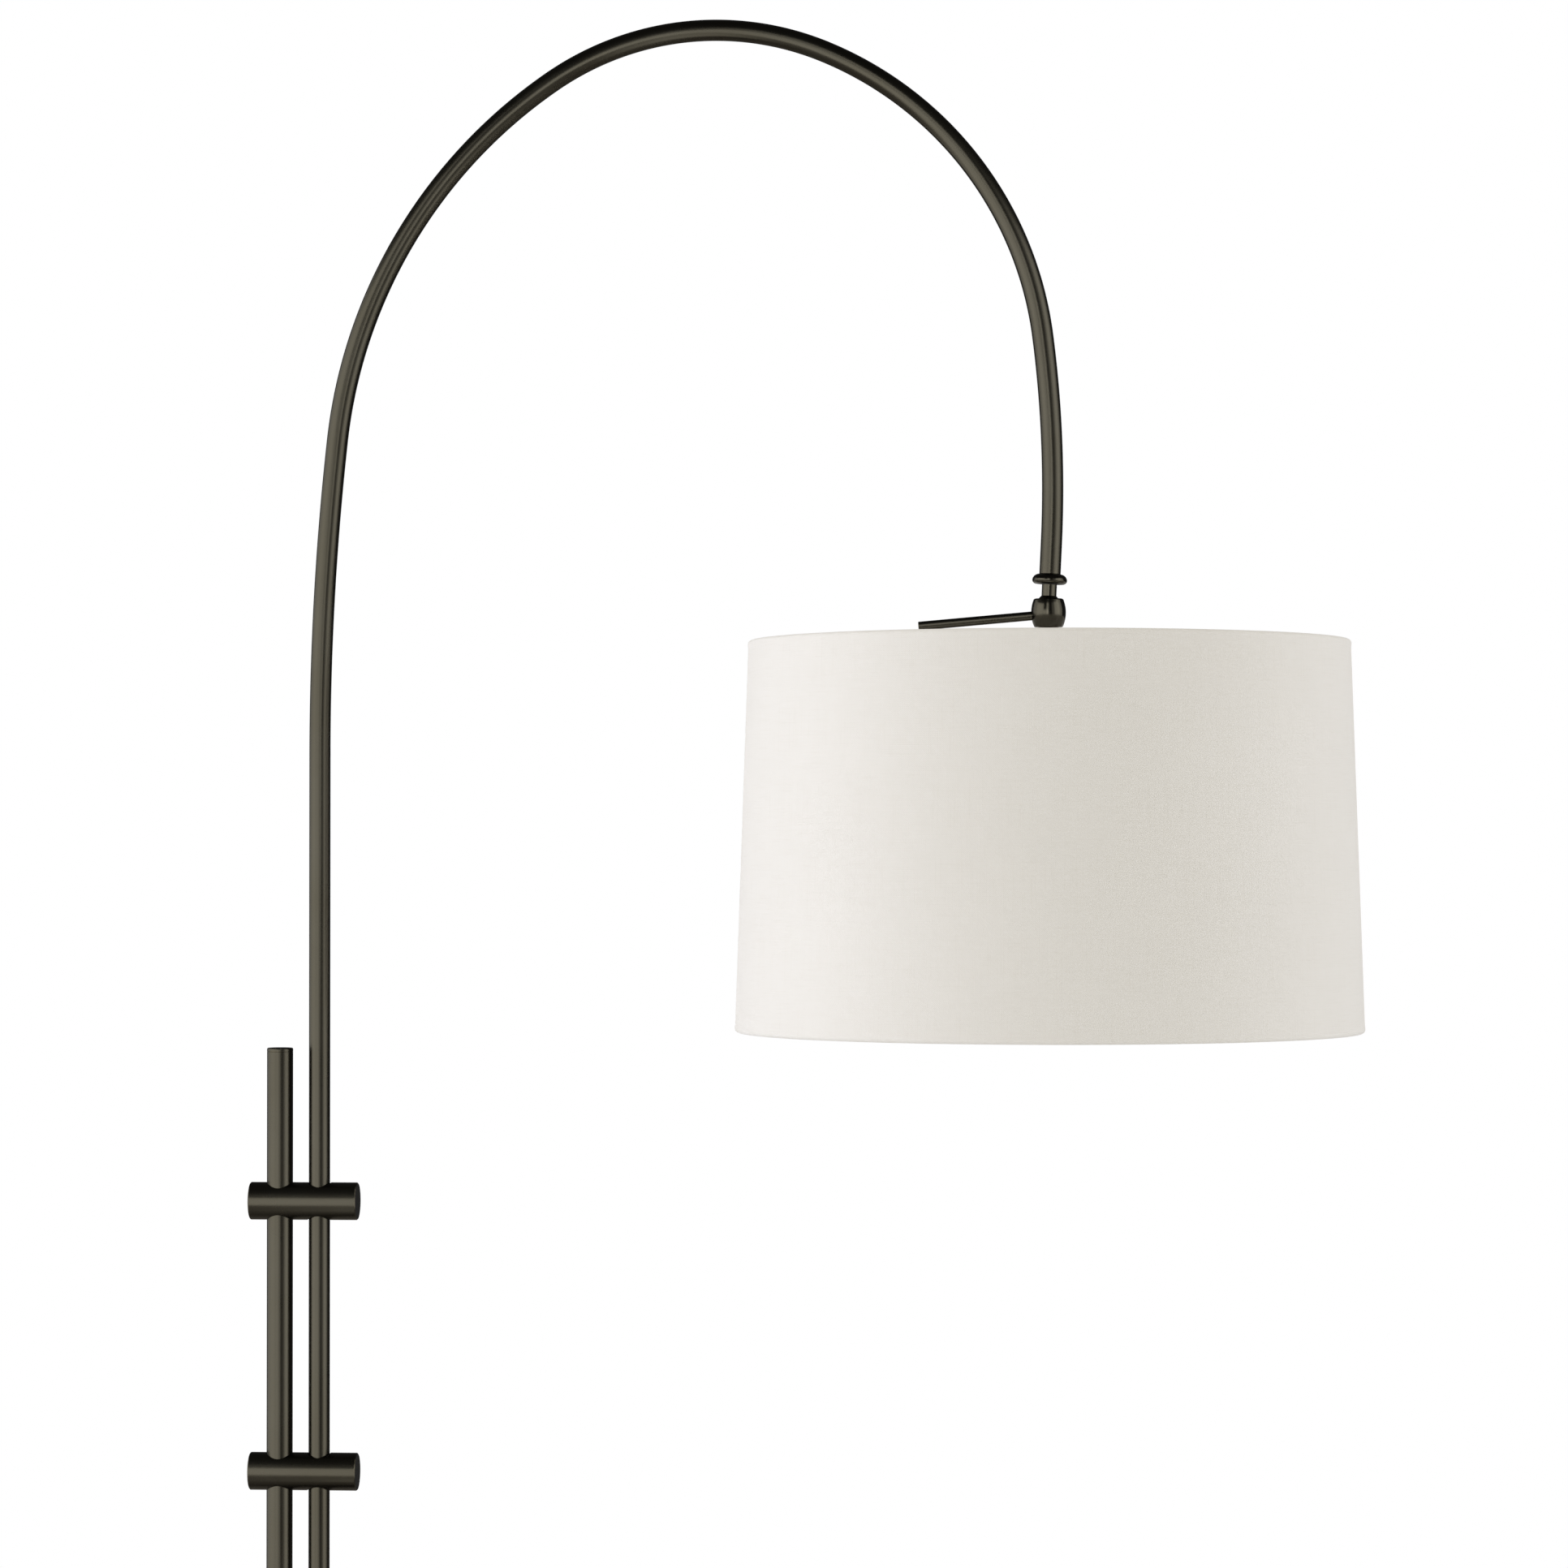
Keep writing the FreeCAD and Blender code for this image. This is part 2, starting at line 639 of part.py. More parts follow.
def nipple():
    low = HUB_Z - SPIDER_HUB_T - 9
    high = BALL.z + BARREL_BOTTOM + NIPPLE_GRIP
    return on_shade_axis(ring(NIPPLE_R, NIPPLE_BORE_R, low, high))


def spacer_sleeve():
    """Turned sleeve between the ball housing and the spider hub."""
    low, high = HUB_Z, BALL.z + BARREL_BOTTOM
    return on_shade_axis(turned([
        (NIPPLE_R + FIT, low),
        (11.0, low),
        (11.0, low + 2.5),
        ((8.2, low + 5.5), (7.6, low + 9)),
        (7.6, high - 1.5),
        (9.0, high),
        (NIPPLE_R + FIT, high),
    ]))


def nipple_nut():
    """Thin nut under the spider hub, inside the lamp holder's cap."""
    nut_z = HUB_Z - SPIDER_HUB_T - 1.3
    return on_shade_axis(hexagon_nut(14, nut_z - 3, nut_z, NIPPLE_R + FIT))


def holder_cap():
    flat_r = HOLDER_CAP_R - HOLDER_SHOULDER
    inside_r = HOLDER_CAP_R - HOLDER_CAP_T
    outer = HOLDER_SHOULDER * math.sqrt(0.5)
    inner = (HOLDER_SHOULDER - HOLDER_CAP_T) * math.sqrt(0.5)
    return hung([
        (NIPPLE_R + FIT, 0),
        (flat_r, 0),
        ((flat_r + outer, HOLDER_SHOULDER - outer), (HOLDER_CAP_R, HOLDER_SHOULDER)),
        (HOLDER_CAP_R, HOLDER_CAP_H),
        (inside_r, HOLDER_CAP_H),
        (inside_r, HOLDER_SHOULDER),
        ((flat_r + inner, HOLDER_SHOULDER - inner), (flat_r, HOLDER_CAP_T)),
        (NIPPLE_R + FIT, HOLDER_CAP_T),
    ])


def holder_shell():
    """Thin shell with a bead round it and a rolled lip."""
    inside_r = HOLDER_R - HOLDER_SHEET_T
    return hung([
        (HOLDER_R, SHELL_TOP),
        (HOLDER_R, SHELL_BEAD - 1),
        ((HOLDER_R + 0.6, SHELL_BEAD), (HOLDER_R, SHELL_BEAD + 1)),
        (HOLDER_R, SHELL_LIP - 0.6),
        ((HOLDER_R - 0.5, SHELL_LIP), (HOLDER_R - 1, SHELL_LIP - 0.6)),
        (inside_r, SHELL_LIP - 1),
        (inside_r, SHELL_TOP),
    ])


def holder_core():
    """Porcelain body that carries the screw shell and the contact."""
    return hung([
        (0, CORE_TOP),
        (CORE_R, CORE_TOP),
        (CORE_R, CORE_BOTTOM - 2),
        (CORE_R - 1, CORE_BOTTOM),
        (0, CORE_BOTTOM),
    ])


def holder_contact():
    return hung([
        (0, CORE_BOTTOM),
        (4.0, CORE_BOTTOM),
        (4.0, CORE_BOTTOM + 1.0),
        (2.5, CORE_BOTTOM + 2.4),
        (0, CORE_BOTTOM + 2.4),
    ])


def depth_ring(outer_r, thickness, top, bottom):
    """A plain ring between two depths below the spider hub."""
    zero = HUB_Z - SPIDER_HUB_T
    return on_shade_axis(ring(outer_r, outer_r - thickness, zero - bottom, zero - top))


def holder_parts():
    at_switch = Vector(BALL.x, 0, switch_z())
    hole = cylinder(SWITCH_SHAFT_R + 0.6, at_switch, 2 * HOLDER_R, Vector(0, -1, 0))
    socket = cylinder(SWITCH_SHAFT_R + 0.1, at_switch + Vector(0, -11, 0), HOLDER_R, Vector(0, -1, 0))
    return {
        "holder_cap": holder_cap(),
        "holder_shell": holder_shell().cut(hole),
        "holder_insulator": depth_ring(SLEEVE_R, SLEEVE_T, CORE_TOP, SCREW_SHELL_BOTTOM - 1).cut(hole),
        "holder_core": holder_core().cut(socket),
        "holder_screw_shell": depth_ring(SCREW_SHELL_R, SCREW_SHELL_T, CORE_BOTTOM, SCREW_SHELL_BOTTOM),
        "holder_contact": holder_contact(),
    }


def switch_z():
    return HUB_Z - SPIDER_HUB_T - SWITCH_DROP


def switch_knob():
    """Shaft and ribbed knob of the turn switch on the lamp holder."""
    inner, shoulder, face, end = 11.1, 21.0, 24.0, 34.0
    body = turned([
        (0, inner),
        (SWITCH_SHAFT_R, inner),
        (SWITCH_SHAFT_R, shoulder),
        (3.4, shoulder),
        (3.4, face),
        (SWITCH_KNOB_R - 0.6, face + 0.6),
        (SWITCH_KNOB_R, face + 1.4),
        (SWITCH_KNOB_R, end - 1),
        ((SWITCH_KNOB_R - 0.3, end - 0.2), (SWITCH_KNOB_R - 1, end)),
        (0, end),
    ])
    groove_at = SWITCH_KNOB_R + 0.3
    for i in range(SWITCH_KNOB_RIBS):
        angle = 2 * math.pi * i / SWITCH_KNOB_RIBS
        at = Vector(groove_at * math.cos(angle), groove_at * math.sin(angle), face)
        body = body.cut(cylinder(FLUTE_R, at, end - face + 2))
    body.rotate(Vector(0, 0, 0), ALONG, 90)
    return moved(body, BALL.x, 0, switch_z())


def bulb_cap():
    """Screw cap, stepped in to the insulator and the centre contact at its top."""
    inside_r = BULB_CAP_R - BULB_CAP_T
    shoulder = BULB_CAP_TOP + 4.4
    return hung([
        (0, BULB_CAP_TOP),
        (4.5, BULB_CAP_TOP),
        (5.5, BULB_CAP_TOP + 1.0),
        (9.0, BULB_CAP_TOP + 2.4),
        (BULB_CAP_R, shoulder),
        (BULB_CAP_R, BULB_CAP_BOTTOM),
        (inside_r, BULB_CAP_BOTTOM),
        (inside_r, shoulder + 0.6),
        (0, shoulder + 0.6),
    ])


def bulb_glass():
    """Thin glass: a straight neck in the cap, a flare, and a round globe."""
    join_z = BULB_CENTRE - BULB_JOIN
    join_r = math.sqrt(BULB_R ** 2 - BULB_JOIN ** 2)
    bottom = BULB_CENTRE + BULB_R
    flare_r, flare_z = 15.0, 66.0
    return hung([
        (BULB_NECK_R, BULB_NECK_TOP),
        (BULB_NECK_R, BULB_CAP_BOTTOM),
        ((flare_r, flare_z), (join_r, join_z)),
        ((BULB_R, BULB_CENTRE), (0, bottom)),
        (0, bottom - GLASS_T),
        ((BULB_R - GLASS_T, BULB_CENTRE), (join_r - 0.7, join_z + 0.5)),
        ((flare_r - GLASS_T, flare_z + 0.2), (BULB_NECK_R - GLASS_T, BULB_CAP_BOTTOM)),
        (BULB_NECK_R - GLASS_T, BULB_NECK_TOP),
    ])


def holder_leads():
    """Two wires from below the ball down to the lamp holder's core."""
    top = BALL.z - BALL_R - 1.5
    low = HUB_Z - SPIDER_HUB_T - 10
    return Part.makeCompound([
        cylinder(LEAD_R, Vector(BALL.x, offset, low), top - low) for offset in (LEAD_OFFSET, -LEAD_OFFSET)])


# ---------------------------------------------------------------- assembly
def all_parts():
    parts = {
        "foot_felt": cylinder(FELT_R, Vector(0, 0, 0), FELT_T),
        "foot_weight": foot_weight(),
        "foot_shell": foot_shell(),
        "post_collar": post_collar(),
        "post_plug": post_plug(),
        "post_tube": ring(POST_R, POST_R - POST_WALL, FOOT_TOP_Z, POST_TOP_Z - CAP_T),
        "post_cap": post_cap(),
        "post_set_screws": Part.makeCompound([set_screw(z) for z in BAR_HEIGHTS.values()]),
        "arm_tube": piped(RUNS, ARM_R, TUBE_BORE_R),
        "arm_end_bush": arm_end_bush(),
        "arm_leads": arm_leads(),
        "lead_splices": lead_splices(),
        "ball_barrel": barrel(),
        "shade_handle": handle(),
        "shade_nipple": nipple(),
        "nipple_nut": nipple_nut(),
        "spacer_sleeve": spacer_sleeve(),
        "shade_spider": shade_spider(),
        "shade_bottom_wire": shade_bottom_wire(),
        "shade_fabric": shade_fabric(),
        "shade_liner": shade_liner(),
        "switch_knob": switch_knob(),
        "holder_leads": holder_leads(),
        "bulb_cap": bulb_cap(),
        "bulb_glass": bulb_glass(),
    }
    for place, height in BAR_HEIGHTS.items():
        parts[place + "_cross_bar"] = cross_bar(height)
        parts[place + "_arm_liner"] = arm_liner(height)
        parts[place + "_thumbscrew"] = thumbscrew(height)
    for group in (foot_fasteners(), arm_end_parts(), barrel_inside(), holder_parts()):
        parts.update(group)
    return parts


def main():
    os.makedirs(OUT, exist_ok=True)
    for name, shape in sorted(all_parts().items()):
        shape.exportStep(os.path.join(OUT, name + ".step"))
        state = "ok" if shape.isValid() and shape.Solids else "BAD"
        print(f"{name:20s} {state} solids {len(shape.Solids)} volume {shape.Volume:12.1f} mm3")
    print(f"tube end {TUBE_END.x:.1f} {TUBE_END.z:.1f}, lean {LEAN:.2f}, ball {BALL.x:.2f} {BALL.z:.2f}")
    print(f"shade {SHADE_BOTTOM_Z:.1f} to {SHADE_TOP_Z:.1f}, hub {HUB_Z:.1f}, switch {switch_z():.1f}")


main()
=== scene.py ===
# %% [markdown]
# # An arc floor lamp
# The lamp is a straight post on a heavy round foot, an arched tube that slides and turns in two cross bars, and a
# linen drum shade that hangs from the tube on a ball joint.
# The sizes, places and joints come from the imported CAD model. This lesson gives each piece its looks: metal parts
# whose CAD shape is right keep it and get a finish, and cloth, bent tube, knurled screws and glass are made again.

# %% Load the CAD model
import json
import math

import bmesh
import bpy
from mathutils import Matrix, Vector

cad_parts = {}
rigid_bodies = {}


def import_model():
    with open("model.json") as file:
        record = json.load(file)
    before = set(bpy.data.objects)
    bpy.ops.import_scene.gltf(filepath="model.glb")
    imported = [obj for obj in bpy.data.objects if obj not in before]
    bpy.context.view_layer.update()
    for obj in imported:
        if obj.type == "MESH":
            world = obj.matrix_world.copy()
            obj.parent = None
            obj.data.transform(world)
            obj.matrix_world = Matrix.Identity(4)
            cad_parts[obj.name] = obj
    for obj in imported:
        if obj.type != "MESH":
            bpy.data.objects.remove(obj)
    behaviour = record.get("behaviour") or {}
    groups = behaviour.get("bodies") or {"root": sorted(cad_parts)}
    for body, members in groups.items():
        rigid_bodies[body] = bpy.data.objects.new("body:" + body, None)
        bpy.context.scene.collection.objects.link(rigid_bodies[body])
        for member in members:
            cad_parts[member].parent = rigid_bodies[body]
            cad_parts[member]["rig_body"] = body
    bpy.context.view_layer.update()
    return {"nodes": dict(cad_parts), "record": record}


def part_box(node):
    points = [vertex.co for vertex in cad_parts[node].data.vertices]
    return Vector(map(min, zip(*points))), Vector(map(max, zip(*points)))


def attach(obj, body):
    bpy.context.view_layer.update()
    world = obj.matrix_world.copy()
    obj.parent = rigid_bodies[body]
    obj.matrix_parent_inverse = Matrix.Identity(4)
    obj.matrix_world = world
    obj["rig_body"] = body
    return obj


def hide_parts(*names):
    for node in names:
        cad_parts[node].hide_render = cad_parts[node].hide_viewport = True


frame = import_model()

nodes = frame["nodes"]

# %% [markdown]
# ## Measures
# Every place below is read from the CAD model or worked out from it, so a piece lands where its CAD node is.
# A joint's record says where the arm turns, where the tube ends and where the ball's centre is.
# The tube's bends are the maker's own bending list: a radius and an angle for each bend, in order.

# %% Places and sizes, in metres
MM = 0.001
joints = {joint["name"]: joint for joint in frame["record"]["behaviour"]["joints"]}
ARM_X = joints["arm_swing"]["pos_m"][0]
TUBE_END = Vector(joints["shade_swivel"]["pos_m"])
BALL = Vector(joints["shade_tilt"]["pos_m"])

ARM_TUBE_R = 9 * MM
ARM_WALL = 1.5 * MM
ARM_BEND_Z = 1511 * MM
ARM_BENDS = [(2.440, 6.3), (0.424, 49.8), (0.245, 56.8), (0.306, 59.7), (1.000, 10.1)]
ARM_END_RUN = 26 * MM


def box_of(node):
    """Lowest corner, highest corner and middle of a CAD node."""
    low, high = (Vector(corner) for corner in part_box(node))
    return low, high, (low + high) / 2


print("tube ends at", TUBE_END[:], "ball at", BALL[:])

# %% [markdown]
# ## Shader helpers
# Each finish is a node tree. Short helpers keep the trees readable: one adds a node with its values and links,
# one starts a group with named inputs and outputs, and the rest are the sums and colour mixes that recur.
# Patterns that change over a surface live in groups, so one group can serve many finishes at different settings.

# %% Helpers for shader trees
def feed(tree, made, inputs):
    """Gives a node its inputs: a socket is linked, any other value is set."""
    for key, value in inputs.items():
        if isinstance(value, bpy.types.NodeSocket):
            tree.links.new(value, made.inputs[key])
        else:
            made.inputs[key].default_value = value
    return made


def add(tree, kind, inputs=None, **settings):
    """Adds a node, with its settings and inputs."""
    made = tree.nodes.new(kind)
    for key, value in settings.items():
        setattr(made, key, value)
    return feed(tree, made, inputs or {})


def maths(tree, operation, first, second=0.0, clamp=False):
    return add(tree, "ShaderNodeMath", {0: first, 1: second}, operation=operation, use_clamp=clamp).outputs[0]


def spread(tree, value, from_low, from_high, to_low, to_high):
    """Maps one range on another and holds it at the ends."""
    limits = {"Value": value, "From Min": from_low, "From Max": from_high, "To Min": to_low, "To Max": to_high}
    return add(tree, "ShaderNodeMapRange", limits).outputs[0]


def mixed(tree, factor, first, second):
    """A colour between two colours."""
    mix = add(tree, "ShaderNodeMix", {0: factor, 6: first, 7: second}, data_type="RGBA")
    return mix.outputs[2]


def noise(tree, vector, scale, detail=2.0, roughness=0.5):
    settings = {"Vector": vector, "Scale": scale, "Detail": detail, "Roughness": roughness}
    return add(tree, "ShaderNodeTexNoise", settings).outputs["Fac"]


def vector(tree, **parts):
    """A vector from its X, Y and Z. A part that isn't given is nought."""
    return add(tree, "ShaderNodeCombineXYZ", parts).outputs[0]


def start_group(name, inputs, outputs):
    """A shader group with named sockets: {name: starting value, or None for a vector} in, [name] out."""
    tree = bpy.data.node_groups.new(name, "ShaderNodeTree")
    for title, value in inputs.items():
        kind = "NodeSocketVector" if value is None else "NodeSocketFloat"
        socket = tree.interface.new_socket(title, in_out="INPUT", socket_type=kind)
        if value is not None:
            socket.default_value = value
    for title in outputs:
        tree.interface.new_socket(title, in_out="OUTPUT", socket_type="NodeSocketFloat")
    return tree, tree.nodes.new("NodeGroupInput").outputs, tree.nodes.new("NodeGroupOutput").inputs


def tell_group(tree):
    sockets = [(item.in_out, item.name) for item in tree.interface.items_tree]
    takes, gives = ([name for side, name in sockets if side == kind] for kind in ("INPUT", "OUTPUT"))
    print(f"group {tree.name}: takes {takes}, gives {gives}")


print("shader helpers: feed, add, maths, spread, mixed, noise, vector, start_group, tell_group")

# %% [markdown]
# ### Patina
# Lacquered bronze is never one flat tone: the dark wash under the lacquer is cloudy over a hand's breadth, and
# the lacquer has a faint orange-peel of a millimetre or two. Noise at those two scales gives a mask for each.

# %% Group: patina
def patina_group():
    tree, given, out = start_group("patina", {"Position": None, "Cloud size": 0.12, "Grain size": 0.0016},
                                   ["Cloud", "Grain"])
    cloud = noise(tree, given["Position"], maths(tree, "DIVIDE", 1.0, given["Cloud size"]), 4.0, 0.6)
    grain = noise(tree, given["Position"], maths(tree, "DIVIDE", 1.0, given["Grain size"]), 1.0)
    tree.links.new(spread(tree, cloud, 0.3, 0.7, 0.0, 1.0), out["Cloud"])
    tree.links.new(grain, out["Grain"])
    return tree


PATINA = patina_group()
tell_group(PATINA)

# %% [markdown]
# ### Rubbed edges
# Hands and cloths wear a finish through at its sharp edges first. The Bevel node gives the normal that a rounded
# edge would have. Where it turns away from the true normal there is an edge, and a cloudy noise breaks it up.

# %% Group: rubbed edges
def rubbed_edges_group():
    tree, given, out = start_group("rubbed edges", {"Position": None, "Width": 0.0008, "Wear": 0.5}, ["Mask"])
    soft = add(tree, "ShaderNodeBevel", {"Radius": given["Width"]}, samples=4).outputs[0]
    true = add(tree, "ShaderNodeNewGeometry").outputs["Normal"]
    alike = add(tree, "ShaderNodeVectorMath", {0: soft, 1: true}, operation="DOT_PRODUCT").outputs["Value"]
    edge = spread(tree, alike, 0.75, 0.995, 1.0, 0.0)
    patchy = spread(tree, noise(tree, given["Position"], 90.0, 3.0), 0.35, 0.65, 0.15, 1.0)
    worn = maths(tree, "MULTIPLY", maths(tree, "MULTIPLY", edge, patchy), given["Wear"])
    tree.links.new(worn, out["Mask"])
    return tree


RUBBED_EDGES = rubbed_edges_group()
tell_group(RUBBED_EDGES)

# %% [markdown]
# ### Plain weave
# In a plain weave each weft thread passes over one warp thread and under the next, so the crowns of the threads
# make a chequered relief. Two sine waves multiplied give just that. Linen is spun from uneven flax, so some
# threads swell for a few centimetres: noise stretched along a thread makes these slubs.

# %% Group: plain weave
WEFT_SLUBS = (22.0, 1250.0, 1.0)     # how finely the noise changes along and across a weft thread, per metre
WARP_SLUBS = (1250.0, 16.0, 1.0)


def plain_weave_group():
    tree, given, out = start_group("plain weave", {"Cloth": None, "Pitch": 0.0008, "Slubs": 0.5},
                                   ["Height", "Slub"])
    place = add(tree, "ShaderNodeSeparateXYZ", {0: given["Cloth"]}).outputs
    turns = maths(tree, "DIVIDE", math.pi, given["Pitch"])
    across = maths(tree, "SINE", maths(tree, "MULTIPLY", place["X"], turns))
    along = maths(tree, "SINE", maths(tree, "MULTIPLY", place["Y"], turns))
    crowns = maths(tree, "MULTIPLY", across, along)
    swell = 0.0
    for stretch in (WEFT_SLUBS, WARP_SLUBS):
        run = add(tree, "ShaderNodeVectorMath", {0: given["Cloth"], 1: stretch}, operation="MULTIPLY").outputs[0]
        swell = maths(tree, "ADD", swell, spread(tree, noise(tree, run, 1.0, 1.0), 0.52, 0.74, 0.0, 1.0))
    slub = maths(tree, "MULTIPLY", swell, given["Slubs"], clamp=True)
    relief = maths(tree, "ADD", maths(tree, "MULTIPLY", crowns, 0.5), slub)
    tree.links.new(relief, out["Height"])
    tree.links.new(slub, out["Slub"])
    return tree


PLAIN_WEAVE = plain_weave_group()
tell_group(PLAIN_WEAVE)

# %% [markdown]
# ### Turned lines
# A lathe tool leaves fine rings round the work. The distance from the piece's axis, cut into fine uneven steps
# by a noise that only reads that distance and the height, gives the rings.

# %% Group: turned lines
def turned_lines_group():
    tree, given, out = start_group("turned lines", {"Position": None, "Spacing": 0.0004}, ["Line"])
    place = add(tree, "ShaderNodeSeparateXYZ", {0: given["Position"]}).outputs
    flat = vector(tree, X=place["X"], Y=place["Y"])
    away = add(tree, "ShaderNodeVectorMath", {0: flat}, operation="LENGTH").outputs["Value"]
    rings = vector(tree, X=away, Z=place["Z"])
    tree.links.new(noise(tree, rings, maths(tree, "DIVIDE", 1.0, given["Spacing"]), 2.0), out["Line"])
    return tree


TURNED_LINES = turned_lines_group()
tell_group(TURNED_LINES)

# %% [markdown]
# ## Finishes
# A finish starts from one Principled BSDF with the object's own coordinates at hand. Values that are the same all
# over a surface, such as metalness or coat, are set on the shader itself. Only what changes is linked.

# %% Helpers for finishes
def start_finish(name, **constants):
    """A new material, its shader and the object's coordinates."""
    finish = bpy.data.materials.new(name)
    finish.use_nodes = True
    tree = finish.node_tree
    shader = tree.nodes["Principled BSDF"]
    for key, value in constants.items():
        shader.inputs[key.replace("_", " ")].default_value = value
    place = add(tree, "ShaderNodeTexCoord").outputs["Object"]
    return finish, tree, shader.inputs, place


def use(tree, group, named):
    """Places a group with its own values, and returns what it puts out."""
    return feed(tree, add(tree, "ShaderNodeGroup", node_tree=group), named).outputs


def relief(tree, height, distance, strength=1.0):
    """A bump from a height mask, with its depth in metres."""
    return add(tree, "ShaderNodeBump", {"Height": height, "Distance": distance, "Strength": strength}).outputs[0]


def tell_finish(*finishes):
    for finish in finishes:
        print(f"finish {finish.name}: {len(finish.node_tree.nodes)} nodes")


# %% [markdown]
# ### Dark bronze
# The visible metal is steel with a dark bronze plate under satin lacquer. It is near black where it mirrors a dark
# room and warm grey where it mirrors a light card, so it is a metal with a very dark warm colour, not a grey paint.

# %% Dark bronze
DARK_WASH = (0.060, 0.055, 0.042, 1)
LIGHT_WASH = (0.070, 0.065, 0.052, 1)
RUBBED_BRONZE = (0.21, 0.155, 0.085, 1)


def dark_bronze(name, smooth, rough):
    finish, tree, to, place = start_finish(name, Metallic=1.0)
    cloud = use(tree, PATINA, {"Position": place})
    worn = use(tree, RUBBED_EDGES, {"Position": place, "Width": 0.0007, "Wear": 0.35})["Mask"]
    wash = mixed(tree, cloud["Cloud"], DARK_WASH, LIGHT_WASH)
    tree.links.new(mixed(tree, worn, wash, RUBBED_BRONZE), to["Base Color"])
    tree.links.new(spread(tree, cloud["Cloud"], 0.0, 1.0, smooth, rough), to["Roughness"])
    tree.links.new(relief(tree, cloud["Grain"], 0.000004), to["Normal"])
    return finish


BRONZE = dark_bronze("dark bronze", 0.25, 0.30)
POLISHED_BRONZE = dark_bronze("polished dark bronze", 0.17, 0.20)
tell_finish(BRONZE, POLISHED_BRONZE)

# %% [markdown]
# ### Other metals
# Fasteners are zinc plated steel, the lamp holder is satin brass, the bulb's cap is bright aluminium, and the
# weight in the foot is rough cast iron under black paint. One function makes them all from their own values.

# %% Plated and cast metals
def plain_metal(name, dark, light, rough_low, rough_high, grain, depth, wear=0.2):
    """A bare or plated metal: its colour clouds between dark and light, its grain is a bump."""
    finish, tree, to, place = start_finish(name, Metallic=1.0)
    cloud = use(tree, PATINA, {"Position": place, "Cloud size": 0.03, "Grain size": grain})
    lines = use(tree, TURNED_LINES, {"Position": place})["Line"]
    worn = use(tree, RUBBED_EDGES, {"Position": place, "Width": 0.0004, "Wear": wear})["Mask"]
    plate = mixed(tree, cloud["Cloud"], dark, light)
    bright = tuple(min(1.0, 1.25 * part) for part in light[:3]) + (1,)
    tree.links.new(mixed(tree, worn, plate, bright), to["Base Color"])
    tree.links.new(spread(tree, lines, 0.3, 0.7, rough_low, rough_high), to["Roughness"])
    tree.links.new(relief(tree, cloud["Grain"], depth), to["Normal"])
    return finish


ZINC = plain_metal("zinc plate", (0.42, 0.42, 0.40, 1), (0.60, 0.60, 0.57, 1), 0.28, 0.42, 0.0012, 0.00002)
BRASS = plain_metal("satin brass", (0.52, 0.36, 0.15, 1), (0.66, 0.48, 0.22, 1), 0.22, 0.34, 0.001, 0.000004)
ALUMINIUM = plain_metal("bright aluminium", (0.68, 0.69, 0.70, 1), (0.80, 0.80, 0.81, 1), 0.18, 0.30, 0.001,
                        0.00001)
CAST_IRON = plain_metal("cast iron", (0.030, 0.030, 0.031, 1), (0.050, 0.049, 0.047, 1), 0.55, 0.75, 0.0022,
                        0.0004)
tell_finish(ZINC, BRASS, ALUMINIUM, CAST_IRON)

# %% [markdown]
# ### Linen
# The cloth is off-white linen laminated on a white sheet. It reads the cloth's own map, in metres of cloth, so the
# threads run round and down the shade. Slubs are a touch darker and warmer than the thin threads between them.
# The hollows between the threads are painted darker: this is painted shade, not a colour of the cloth.

# %% Linen
THREAD_PITCH = 0.8 * MM
WARM_LINEN, PALE_LINEN = (0.800, 0.775, 0.715, 1), (0.815, 0.790, 0.730, 1)
# The last colour is painted shade for the hollows between the threads.
SLUB_COLOUR, PAINTED_GAP_SHADE = (0.66, 0.62, 0.53, 1), (0.50, 0.46, 0.39, 1)


def linen():
    finish, tree, to, _ = start_finish("off-white linen", Sheen_Weight=0.25, Sheen_Roughness=0.5)
    cloth = add(tree, "ShaderNodeUVMap", uv_map="cloth").outputs[0]
    weave = use(tree, PLAIN_WEAVE, {"Cloth": cloth, "Pitch": THREAD_PITCH, "Slubs": 0.6})
    cloud = use(tree, PATINA, {"Position": cloth, "Cloud size": 0.15})["Cloud"]
    ground = mixed(tree, cloud, WARM_LINEN, PALE_LINEN)
    threads = mixed(tree, maths(tree, "MULTIPLY", weave["Slub"], 0.22), ground, SLUB_COLOUR)
    # Painted shade: the hollows of the weave are darkened in the base colour.
    gap_shade_mask = spread(tree, weave["Height"], -0.5, 0.1, 0.08, 0.0)
    tree.links.new(mixed(tree, gap_shade_mask, threads, PAINTED_GAP_SHADE), to["Base Color"])
    tree.links.new(spread(tree, weave["Slub"], 0.0, 1.0, 0.82, 0.92), to["Roughness"])
    tree.links.new(relief(tree, weave["Height"], 0.00012, 0.7), to["Normal"])
    return finish


LINEN = linen()
tell_finish(LINEN)

# %% [markdown]
# ### Plastics, paint and the rest
# Most of the small pieces are moulded or coated: a base colour that drifts a little, a roughness that drifts with
# it, and a fine relief. Felt has a deep, soft relief, porcelain and glass have none.

# %% Moulded, coated and pressed finishes
def coated(name, first, second, roughness, grain=0.001, depth=0.00003, cloud_size=0.05, **constants):
    """A non-metal finish whose colour drifts from first to second."""
    finish, tree, to, place = start_finish(name, **constants)
    cloud = use(tree, PATINA, {"Position": place, "Cloud size": cloud_size, "Grain size": grain})
    tree.links.new(mixed(tree, cloud["Cloud"], first, second), to["Base Color"])
    tree.links.new(spread(tree, cloud["Grain"], 0.3, 0.7, roughness * 0.9, roughness * 1.1), to["Roughness"])
    tree.links.new(relief(tree, cloud["Grain"], depth), to["Normal"])
    return finish


